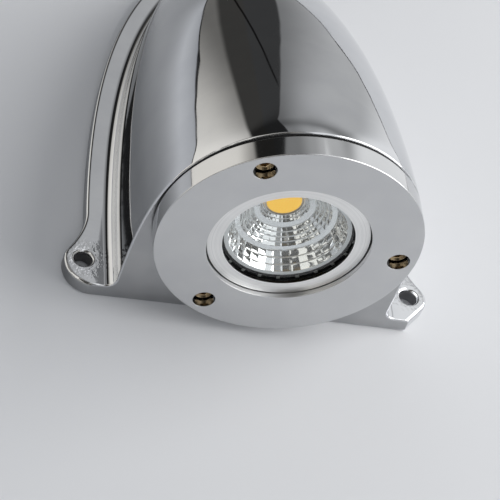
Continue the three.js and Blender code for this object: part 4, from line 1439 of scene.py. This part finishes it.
@dataclass
class Bezel:
    """The flat ring on the front with its gasket, screws, trim, glass and seal.

    Depths are behind the ring's face. A land is the flat strip that runs up to an eased edge.
    """

    aperture: float = 30.0
    aperture_ease: float = 0.3
    thickness: float = 8.5
    edge: float = 0.6
    back_ease: float = 0.3
    fine_ease: float = 0.1
    land: float = 1.0
    pocket: float = 33.0
    pocket_depth: float = 3.3
    pocket_ease: float = 0.2
    pocket_land: float = 0.5
    counterbore: float = 4.2
    counterbore_ease: float = 0.25
    counterbore_land: float = 0.4
    seat_depth: float = 6.3
    seat_ease: float = 0.15
    clearance: float = 2.1
    gasket_radii: Span = (34.5, 47.6)
    gasket_depths: Span = (8.6, 9.9)
    head_radius: float = 3.5
    head_sink: float = 3.4
    head_height: float = 2.8
    head_ease: float = 0.45
    head_land: float = 0.8
    neck_ease: float = 0.2
    socket_radius: float = 1.73
    socket_depth: float = 1.8
    socket_lip: float = 0.15
    socket_point: float = 0.4
    socket_sides: int = 6
    shank_radius: float = 2.0
    shank_length: float = 12.0
    shank_ease: float = 0.4
    trim: Profile = (
        Corner(24.1, 2.1, 0.12), Corner(29.7, 2.1, 0.2), Corner(29.7, 3.2, 0.1), Corner(24.1, 3.2, 0.1))
    seal: Profile = (
        Corner(27.6, 5.5, 0.4), Corner(32.6, 5.5, 0.4), Corner(32.6, 8.2, 0.4), Corner(27.6, 8.2, 0.4))
    glass: Profile = (Corner(0, 3.4), Corner(32.7, 3.4, 0.3), Corner(32.7, 5.4, 0.3), Corner(0, 5.4))
    steps: int = 160
    counterbore_steps: int = 48
    clearance_steps: int = 24

    def build(self) -> None:
        """Builds every piece of the bezel."""
        self.build_ring()
        self.build_gasket()
        for number, (x, z) in enumerate(screw_places(), 1):
            self.build_screw(number, Vector((x, RING_FACE, z)))
        build_turned("trim_annulus", "trim_ring", self.trim, self.steps, closed=True)
        build_turned("window_seal", "glass_seal", self.seal, self.steps, closed=True)
        build_turned("window", "front_glass", self.glass, self.steps, closed=False)

    def build_ring(self) -> None:
        """Builds the ring with its three counterbored holes."""
        shape = Shape()
        outer = eased([
            Corner(RING_RADIUS - self.land, 0), Corner(RING_RADIUS, 0, self.edge),
            Corner(RING_RADIUS, self.thickness, self.back_ease),
            Corner(RING_RADIUS - self.land, self.thickness)], closed=False)
        inner = eased([
            Corner(self.aperture + self.land, 0), Corner(self.aperture, 0, self.aperture_ease),
            Corner(self.aperture, self.pocket_depth, self.fine_ease),
            Corner(self.pocket, self.pocket_depth, self.fine_ease),
            Corner(self.pocket, self.thickness, self.pocket_ease),
            Corner(self.pocket + self.pocket_land, self.thickness)], closed=False)
        bore = eased([
            Corner(self.counterbore + self.counterbore_land, 0),
            Corner(self.counterbore, 0, self.counterbore_ease),
            Corner(self.counterbore, self.seat_depth, self.seat_ease),
            Corner(self.clearance, self.seat_depth, self.fine_ease),
            Corner(self.clearance, self.thickness)], closed=False)
        shape.turned(outer, Turn.OPTIC, OPTIC_CENTRE, self.steps)
        shape.turned(inner, Turn.OPTIC, OPTIC_CENTRE, self.steps)
        for x, z in screw_places():
            shape.turned(bore, Turn.OPTIC, Vector((x, RING_FACE, z)), self.counterbore_steps)
        shape.weld()
        for depth in (0, self.thickness):
            shape.fill_level(Axis.Y, RING_FACE + depth)
        piece = shape.finished("ring")
        shade_evenly(piece)
        settle(piece, "bezel_ring")

    def build_gasket(self) -> None:
        """Builds the gasket between ring and casting, with a hole for each screw."""
        shape = Shape()
        for radius in self.gasket_radii:
            wall = [(radius, depth) for depth in self.gasket_depths]
            shape.turned(wall, Turn.OPTIC, OPTIC_CENTRE, self.steps)
        for x, z in screw_places():
            wall = [(self.clearance, depth) for depth in self.gasket_depths]
            shape.turned(wall, Turn.OPTIC, Vector((x, RING_FACE, z)), self.clearance_steps)
        shape.weld()
        for depth in self.gasket_depths:
            shape.fill_level(Axis.Y, RING_FACE + depth)
        settle(shape.finished("gasket"), "bezel_gasket")

    def build_screw(self, number: int, centre: Vector) -> None:
        """Builds a socket head screw.

        Args:
            number: the screw's number.
            centre: where its axis meets the ring's face.
        """
        shape = Shape()
        top = self.head_sink
        neck = top + self.head_height
        end = neck + self.shank_length
        profile = eased([
            Corner(self.head_radius - self.head_land, top), Corner(self.head_radius, top, self.head_ease),
            Corner(self.head_radius, neck, self.seat_ease), Corner(self.shank_radius, neck, self.neck_ease),
            Corner(self.shank_radius, end, self.shank_ease), Corner(0, end)], closed=False)
        shape.turned(profile, Turn.OPTIC, centre, self.counterbore_steps)
        floor = top + self.socket_depth
        key = [(self.socket_radius + self.socket_lip, top), (self.socket_radius, top + self.socket_lip),
               (self.socket_radius, floor), (0, floor + self.socket_point)]
        shape.turned(key, Turn.OPTIC, centre, self.socket_sides)
        shape.weld()
        shape.fill_level(Axis.Y, centre.y + top)
        settle(shape.finished(f"ring_screw_{number}"), f"bezel_screw_{number}")


@dataclass(frozen=True)
class Band:
    """One stepped band of the reflector.

    It has its rows, the shares of the way where it begins and ends, how far a facet comes in for each
    millimetre down, and the share of a row's depth that its facet takes before the next row's step.
    """

    rows: int
    from_share: Span
    to_share: Span
    slope: float
    facet_share: float


@dataclass(frozen=True)
class Hoop:
    """One ring of the mirror's points: its place, its row of facets and how far it is down that row."""

    radius: float
    depth: float
    row: int = 0
    share: float = 0.0


def swell(share: float) -> float:
    """How much a facet swells on its way across. It is nearly flat but for its rounded edges."""
    return 1 - (2 * share - 1) ** SWELL_POWER


@dataclass
class Optics:
    """The faceted reflector and the light source behind the glass."""

    mouth_radius: float = 22.8
    mouth_depth: float = 5.7
    base_radius: float = 7.1
    height: float = 15.1
    rim_radius: float = 23.3
    rim_depth: float = 5.5
    lip_radius: float = 21.8
    row_gap: float = 0.02
    wall: float = 0.9
    columns: int = 40
    column_steps: int = 8
    row_steps: int = 8
    pillow: float = 0.045
    tilt: float = 0.07
    seed: int = 7
    column_turn: float = math.radians(2.3)
    sharp: float = 7.0
    step_reach: float = 0.6
    step_width: float = 0.7
    bands: tuple[Band, ...] = (
        Band(3, (0.0637, 0.0), (0.23, 0.51), 0.62, 0.70),
        Band(4, (0.37, 0.543), (0.733, 0.854), 0.95, 0.86),
        Band(2, (0.86, 0.881), (1.0, 1.0), 1.0, 0.86),
    )
    light: Profile = (Corner(0, 20.95), Corner(6.5, 21.0, 0.2), Corner(6.5, 21.5, 0.1), Corner(0, 21.5))
    light_steps: int = 72

    def build(self) -> None:
        """Builds the reflector and the light source."""
        self.build_reflector()
        build_turned("light_source", "led_phosphor", self.light, self.light_steps, closed=False)

    def way(self, share: Span) -> Span:
        """A place on the way from mouth to base, as radius and depth.

        Args:
            share: the shares across and down.

        Returns:
            The radius and the depth.
        """
        across, down = share
        return (self.mouth_radius + (self.base_radius - self.mouth_radius) * across,
                self.mouth_depth + self.height * down)

    def mirror_hoops(self) -> list[Hoop]:
        """The mirror side as rings of points, from the mouth to the base.

        Returns:
            The rings.
        """
        hoops = [Hoop(self.rim_radius, self.rim_depth), Hoop(self.lip_radius, self.rim_depth)]
        row_number = 0
        for band in self.bands:
            start_radius, start_depth = self.way(band.from_share)
            end_radius, end_depth = self.way(band.to_share)
            fall = (end_depth - self.row_gap - start_depth) / (band.rows - 1 + band.facet_share)
            reach = (start_radius - end_radius) / band.rows
            for row in range(band.rows):
                for share in shares(self.row_steps):
                    down = fall * band.facet_share * share
                    hoops.append(Hoop(start_radius - reach * row - down * band.slope,
                                      start_depth + fall * row + down, row_number, share))
                row_number += 1
            ledge_radius = min(end_radius, hoops[-1].radius - self.row_gap)
            hoops.append(Hoop(ledge_radius, end_depth, row_number))
        return hoops

    def back_hoops(self) -> list[Hoop]:
        """The back of the bowl's wall, from the base to the mouth.

        Returns:
            The rings.
        """
        middle, outer = (self.way(band.to_share) for band in (self.bands[1], self.bands[0]))
        return [
            Hoop(self.base_radius + self.wall, self.mouth_depth + self.height),
            Hoop(middle[0] + self.wall, middle[1] + self.wall),
            Hoop(outer[0] + self.wall, outer[1] + self.wall),
            Hoop(self.rim_radius, self.rim_depth + self.wall),
        ]

    def build_reflector(self) -> None:
        """Builds the bowl with a closed wall, facet by facet."""
        mirror = self.mirror_hoops()
        hoops = [*mirror, *self.back_hoops(), mirror[0]]
        last = len(hoops) - 1
        cell = FULL_TURN / self.columns
        chance = random.Random(self.seed)
        rows = 1 + sum(band.rows for band in self.bands)
        tilts = [[(chance.uniform(-1, 1), chance.uniform(-1, 1)) for _ in range(self.columns)]
                 for _ in range(rows)]

        def on_bowl(across: float, along: float) -> Vector:
            """A point of the bowl.

            Args:
                across: the share across.
                along: the share along.

            Returns:
                The point.
            """
            number = round(along * last)
            hoop = hoops[number]
            radius = hoop.radius
            station = round(across * self.columns * self.column_steps)
            column = station // self.column_steps % self.columns
            place = station % self.column_steps / self.column_steps
            if number % last < len(mirror):
                radius *= math.cos(cell / 2) / math.cos((place - HALF) * cell)
                if hoop.share > 0:
                    sideways, down = tilts[hoop.row][column]
                    radius -= self.pillow * swell(hoop.share) * swell(place)
                    radius += self.tilt * (sideways * (place - HALF) + down * (hoop.share - HALF))
            angle = FULL_TURN * across + cell / 2 + self.column_turn
            across_x = radius * math.sin(angle)
            return Vector((across_x, RING_FACE + hoop.depth, OPTIC_Z + radius * math.cos(angle)))

        shape = Shape()
        shape.sheet(self.columns * self.column_steps, last, on_bowl)
        for face in shape.mesh.faces:
            if self.is_step(face.calc_center_median(), mirror):
                face.material_index = 1
        settle(shape.finished("mirror_bowl", self.sharp), "reflector", STEP)

    def is_step(self, spot: Vector, mirror: Sequence[Hoop]) -> bool:
        """Whether a spot lies on the rim or on a step between two rows of one band.

        Args:
            spot: the spot.
            mirror: the rings of the mirror side.

        Returns:
            Whether it does.
        """
        depth = spot.y - RING_FACE
        across = math.hypot(spot.x, spot.z - OPTIC_Z)
        if depth < self.mouth_depth and across > self.lip_radius - self.wall:
            return True
        for before, after in zip(mirror, mirror[1:]):
            if after.row > before.row and before.share == 1 and before.depth < depth < after.depth:
                return (after.share == 0 and across < before.radius + self.step_reach
                        and after.radius > before.radius - self.step_width)
        return False


def dress_nodes() -> None:
    """Gives every CAD node that still shows its finish."""
    for name, node in frame["nodes"].items():
        finish = SLOT_FINISH[NODE_SLOT[name]]
        node.data.materials.clear()
        node.data.materials.append(finish.material())


@dataclass(frozen=True)
class Table:
    """The pale table top, and where it ends in the chrome's reflections. The chrome also sees painted shade
    on it beside the body's left, painted light farther left, and a painted dark line at its edge. Its places
    are in metres.
    """

    colour: Colour = (0.80, 0.81, 0.835)
    mottle_scale: float = 3.0
    mottle_shade: float = 0.985
    half_size: float = 6.0
    steps: int = 8
    drop: float = 0.0002
    right_x: float = 0.30
    back_y: float = 0.51
    back_slant: float = 1.6
    left_x: float = -0.46
    left_slant: float = 0.36
    left_from_y: float = 0.4
    edge_span: Span = (-0.001, 0.001)
    # A painted dark line along the table's edge, seen only in mirrors, as painted shade of the gap beyond it.
    painted_edge_shade: float = 0.1
    painted_edge_shade_core: float = 0.7
    painted_edge_shade_colour: Colour = (0.05, 0.05, 0.05)
    # In mirrors only: painted shade beside the body's left, and painted light farther left.
    near_painted_shade: float = 0.62
    far_painted_light: float = 1.14
    far_span: Span = (0.09, 0.2)
    right_span: Span = (-0.06, 0.0)
    front_span: Span = (-0.1, -0.086)

    def build(self) -> None:
        """Builds the table top."""
        mesh = bmesh.new()
        bmesh.ops.create_grid(mesh, x_segments=self.steps, y_segments=self.steps, size=self.half_size)
        bmesh.ops.translate(mesh, verts=mesh.verts, vec=(0, 0, -self.drop))
        data = bpy.data.meshes.new("table_top")
        mesh.to_mesh(data)
        mesh.free()
        table = bpy.data.objects.new("table_top", data)
        bpy.context.scene.collection.objects.link(table)
        data.materials.append(self.material())

    def material(self) -> bpy.types.Material:
        """Makes the table's finish. Mirrors see it end at its edges, with painted shade and painted light on
        it.

        Returns:
            The material.
        """
        material = bpy.data.materials.new("table_paper")
        material.use_nodes = True
        recipe = Recipe(material.node_tree)
        x, y, _ = recipe.axes(recipe.place())
        right = self.right_x - x
        back = self.back_y - self.back_slant * x.least(0.0) - y
        left = x - self.left_x + self.left_slant * (y - self.left_from_y)
        inside = right.least(back).least(left)
        glossy = recipe.ray(Ray.GLOSSY)
        beyond = glossy * (1 - inside.step(*self.edge_span))
        # Painted shade: a dark line along the table's edge, for mirrors only.
        painted_edge_shade = glossy * (1 - (inside / (x * x + y * y)).step(self.painted_edge_shade * self.painted_edge_shade_core, self.painted_edge_shade))
        mottle = recipe.noise(self.mottle_scale)
        paper = recipe.mix(mottle, self.colour, tuple(part * self.mottle_shade for part in self.colour))
        # Painted shade and painted light that only mirrors see: darker beside the body's left, brighter
        # farther left, none ahead of the front.
        painted_left_shade = (0 - x).step(*self.far_span).blend(self.near_painted_shade, self.far_painted_light)
        painted_mirror_shade = x.step(*self.right_span).blend(painted_left_shade, 1.0)
        painted_mirror_shade = (glossy * y.step(*self.front_span)).blend(1.0, painted_mirror_shade)
        colour = recipe.mix(painted_edge_shade, recipe.scaled(paper, painted_mirror_shade), self.painted_edge_shade_colour)
        top = recipe.node("ShaderNodeBsdfDiffuse", None, {"Color": colour})
        gone = recipe.node("ShaderNodeBsdfTransparent")
        recipe.surface(recipe.layered(beyond, top.outputs[0], gone.outputs[0]))
        return material


@dataclass(frozen=True)
class Fade:
    """A smooth change on the room's map: where it begins and ends, and its level before and after."""

    low: float
    high: float
    before: float
    after: float

    def at(self, value: Wire) -> Wire:
        """The level at a turn or a height."""
        return value.step(self.low, self.high).blend(self.before, self.after)


@dataclass(frozen=True)
class Course:
    """A line across the room's map: where it starts, its slope and its bend."""

    start: float
    slope: float
    bend: float = 0.0

    def at(self, value: Wire) -> Wire:
        """Where the line is, at a height or a turn."""
        return self.start + self.slope * value + self.bend * value * value


@dataclass(frozen=True)
class Room:
    """What surrounds the light: soft walls, a dark upright strip and a bright ceiling.

    The map of the room has turns from +Y towards +X and heights above the table, both in degrees.
    A blur is the way over which an edge fades, on each side of it.
    """

    daylight: Colour = (0.93, 0.96, 1.0)
    ambient: float = 0.325
    left_tint: Colour = (1.0, 0.97, 0.91)
    right_tint: Colour = (0.98, 0.99, 1.0)
    left_wall: Fade = Fade(14.0, 48.0, 0.17, 1.0)
    left_top: Span = (24.0, 34.0)
    left_top_level: float = 0.5
    right_wall: Fade = Fade(-1.0, 16.0, 0.23, 0.54)
    right_top: Fade = Fade(18.0, 34.0, 1.0, 0.4)
    right_end: Span = (32.0, 44.0)
    right_end_level: float = 1.03
    middle_blur: Span = (-1.0, 1.0)
    strip_left: Course = Course(-8.0, -0.9, 0.0035)
    strip_left_blur: Span = (-3.0, 0.8)
    strip_right: Course = Course(12.6, -0.2, -0.0215)
    strip_right_least: float = -8.5
    strip_right_blur: Span = (-0.4, 0.5)
    strip_top: Course = Course(42.43, -0.22)
    strip_top_blur: Span = (-0.3, 0.5)
    strip_level: Fade = Fade(22.0, 30.0, 0.05, 0.018)
    line: Course = Course(-1.0, 0.03)
    line_blur: Span = (0.25, 0.55)
    line_top: Span = (18.0, 20.0)
    line_depth: float = 0.85
    overhead: Span = (30.0, 40.0)
    ceiling: Fade = Fade(-5.0, 10.0, 0.26, 0.45)
    ceiling_right: Fade = Fade(10.0, 20.0, 0.0, 0.17)
    corner_height: Span = (43.0, 46.0)
    corner_turn: Span = (19.0, 21.5)
    corner_level: float = 0.38
    front_blur: Span = (88.0, 98.0)
    front_level: float = 1.05
    rim_blur: Span = (-1.5, 1.5)
    half_dark_rim: Course = Course(175.88, -0.18)
    half_dark_level: float = 0.33
    dark_left_rim: Course = Course(169.6, 0.4)
    dark_right_rim: Course = Course(189.0, 0.8)
    dark_level: float = 0.09
    clutter_scale: float = 9.0
    clutter_detail: float = 1.0
    clutter_span: Span = (0.46, 0.54)
    clutter_top: Span = (28.0, 34.0)

    def build(self) -> None:
        """Builds the world. The camera sees white and mirrors see the room."""
        world = bpy.data.worlds.new("room")
        bpy.context.scene.world = world
        world.use_nodes = True
        recipe = Recipe(world.node_tree)
        room = recipe.node("ShaderNodeBackground", None, {"Color": self.seen_by_mirrors(recipe)})
        plain = recipe.node("ShaderNodeBackground", None,
                            {"Color": (*self.daylight, 1), "Strength": self.ambient})
        white = recipe.node("ShaderNodeBackground", None, {"Color": (1, 1, 1, 1), "Strength": 1.0})
        lit = recipe.layered(recipe.ray(Ray.GLOSSY), plain.outputs[0], room.outputs[0])
        seen = recipe.ray(Ray.CAMERA).most(recipe.ray(Ray.TRANSMISSION))
        recipe.surface(recipe.layered(seen, lit, white.outputs[0]), "ShaderNodeOutputWorld")

    def seen_by_mirrors(self, recipe: Recipe) -> bpy.types.NodeSocket:
        """Works out the room's colour from the direction.

        Args:
            recipe: the world's recipe.

        Returns:
            The colour.
        """
        direction = recipe.node("ShaderNodeTexCoord").outputs["Generated"]
        x, y, z = recipe.axes(direction)
        turn = x.math("ARCTAN2", y) * IN_DEGREES
        height = z.most(-1.0).least(1.0).math("ARCSINE") * IN_DEGREES
        left_edge = self.strip_left.at(height)
        right_edge = self.strip_right.at(height).most(self.strip_right_least)
        right_side = (turn - (left_edge + right_edge) * HALF).step(*self.middle_blur)
        right_walls = self.right_walls(turn - right_edge, turn, height)
        walls = right_side.blend(self.left_walls(turn, height), right_walls)
        level = height.step(*self.overhead).blend(walls, self.ceilings(turn, height))
        ahead = self.ahead_of_light(recipe, turn, height, direction)
        level = turn.math("ABSOLUTE").step(*self.front_blur).blend(level, ahead)
        strip = (turn - left_edge).step(*self.strip_left_blur)
        strip = strip * (right_edge - turn).step(*self.strip_right_blur)
        strip = strip * (1 - (height - self.strip_top.at(turn)).step(*self.strip_top_blur))
        level = strip.blend(level, self.strip_levels(turn, height))
        return recipe.scaled(recipe.mix(right_side, self.left_tint, self.right_tint), level)

    def left_walls(self, turn: Wire, height: Wire) -> Wire:
        """The wall left of the strip."""
        return height.step(*self.left_top).blend(self.left_wall.at(0 - turn), self.left_top_level)

    def right_walls(self, beside: Wire, turn: Wire, height: Wire) -> Wire:
        """The wall right of the strip, by how far beside the strip and how high it is."""
        wall = self.right_wall.at(beside) * self.right_top.at(height)
        return turn.step(*self.right_end).blend(wall, self.right_end_level)

    def ceilings(self, turn: Wire, height: Wire) -> Wire:
        """The ceiling, with its brighter corner."""
        corner = height.step(*self.corner_height) * turn.step(*self.corner_turn) * self.corner_level
        return self.ceiling.at(turn) + self.ceiling_right.at(turn) + corner

    def strip_levels(self, turn: Wire, height: Wire) -> Wire:
        """The dark strip, with a fine black line in it.

        Args:
            turn: the turn in degrees.
            height: the height in degrees.

        Returns:
            The level.
        """
        beside = (turn - self.line.at(height)).math("ABSOLUTE")
        line = (1 - beside.step(*self.line_blur)) * (1 - height.step(*self.line_top))
        return self.strip_level.at(height) * (1 - line * self.line_depth)

    def ahead_of_light(self, recipe: Recipe, turn: Wire, height: Wire,
                       direction: bpy.types.NodeSocket) -> Wire:
        """The room ahead of the light: bright, with a dark patch, a paler one beside it and clutter below.

        Args:
            recipe: the world's recipe.
            turn: the turn in degrees.
            height: the height in degrees.
            direction: the direction itself.

        Returns:
            The level.
        """
        around = (turn + FULL_DEGREES).math("MODULO", FULL_DEGREES)
        right_rim = (around - self.dark_right_rim.at(height)).step(*self.rim_blur)
        left_rim = (around - self.dark_left_rim.at(height)).step(*self.rim_blur)
        pale_rim = (around - self.half_dark_rim.at(height)).step(*self.rim_blur)
        clutter = recipe.noise(self.clutter_scale, self.clutter_detail, direction).step(*self.clutter_span)
        low = 1 - height.step(*self.clutter_top)
        level = low.blend(self.front_level, clutter.blend(self.dark_level, self.front_level))
        level = (pale_rim * (1 - left_rim)).blend(level, self.half_dark_level)
        return (left_rim * (1 - right_rim)).blend(level, self.dark_level)


@dataclass(frozen=True)
class Lamp:
    """A soft rectangular lamp."""

    name: str
    place: Point
    target: Point
    size: float
    power: float
    colour: Colour = (1.0, 1.0, 1.0)
    in_mirrors: bool = True

    def build(self) -> None:
        """Builds the lamp, turned to its target."""
        data = bpy.data.lights.new(self.name, "AREA")
        data.shape = "SQUARE"
        data.size = self.size
        data.energy = self.power
        data.color = self.colour
        lamp = bpy.data.objects.new(self.name, data)
        lamp.location = self.place
        aim = Vector(self.target) - Vector(self.place)
        lamp.rotation_euler = aim.to_track_quat("-Z", "Y").to_euler()
        lamp.visible_glossy = self.in_mirrors
        bpy.context.scene.collection.objects.link(lamp)


LAMPS = (
    Lamp("window", place=(0.9, -0.08, 0.7), target=(0, 0, 0.03), size=1.2, power=12.6,
         colour=(1.0, 0.99, 0.97)),
    Lamp("fill", place=(-0.1, -1.3, 0.8), target=(0, -0.2, 0), size=0.8, power=2.3, in_mirrors=False),
)


@dataclass(frozen=True)
class PhotoCamera:
    """The camera at the photograph's place."""

    place: Point = (-0.2004, -0.5632, 0.5810)
    back: Point = (-0.2567, -0.6318, 0.7314)
    up: Point = (-0.1178, 0.7716, 0.6252)
    lens: float = 146.02
    sensor: float = 36.0

    def build(self) -> None:
        """Builds the camera and makes it the scene's own."""
        data = bpy.data.cameras.new("photo_camera")
        data.lens = self.lens
        data.sensor_width = self.sensor
        data.sensor_fit = "AUTO"
        camera = bpy.data.objects.new("photo_camera", data)
        back = Vector(self.back).normalized()
        right = Vector(self.up).cross(back).normalized()
        up = back.cross(right)
        turn = Matrix((right, up, back)).transposed().to_4x4()
        camera.matrix_world = Matrix.Translation(self.place) @ turn
        bpy.context.scene.collection.objects.link(camera)
        bpy.context.scene.camera = camera


def main() -> None:
    """Builds the wall light and its studio."""
    logging.basicConfig(level=logging.INFO, format="%(message)s")
    bpy.context.scene.view_settings.view_transform = "Standard"
    PhotoCamera().build()
    dress_nodes()
    Casting().build()
    Bezel().build()
    Optics().build()
    Table().build()
    Room().build()
    for lamp in LAMPS:
        lamp.build()


if __name__ == "__main__":
    main()
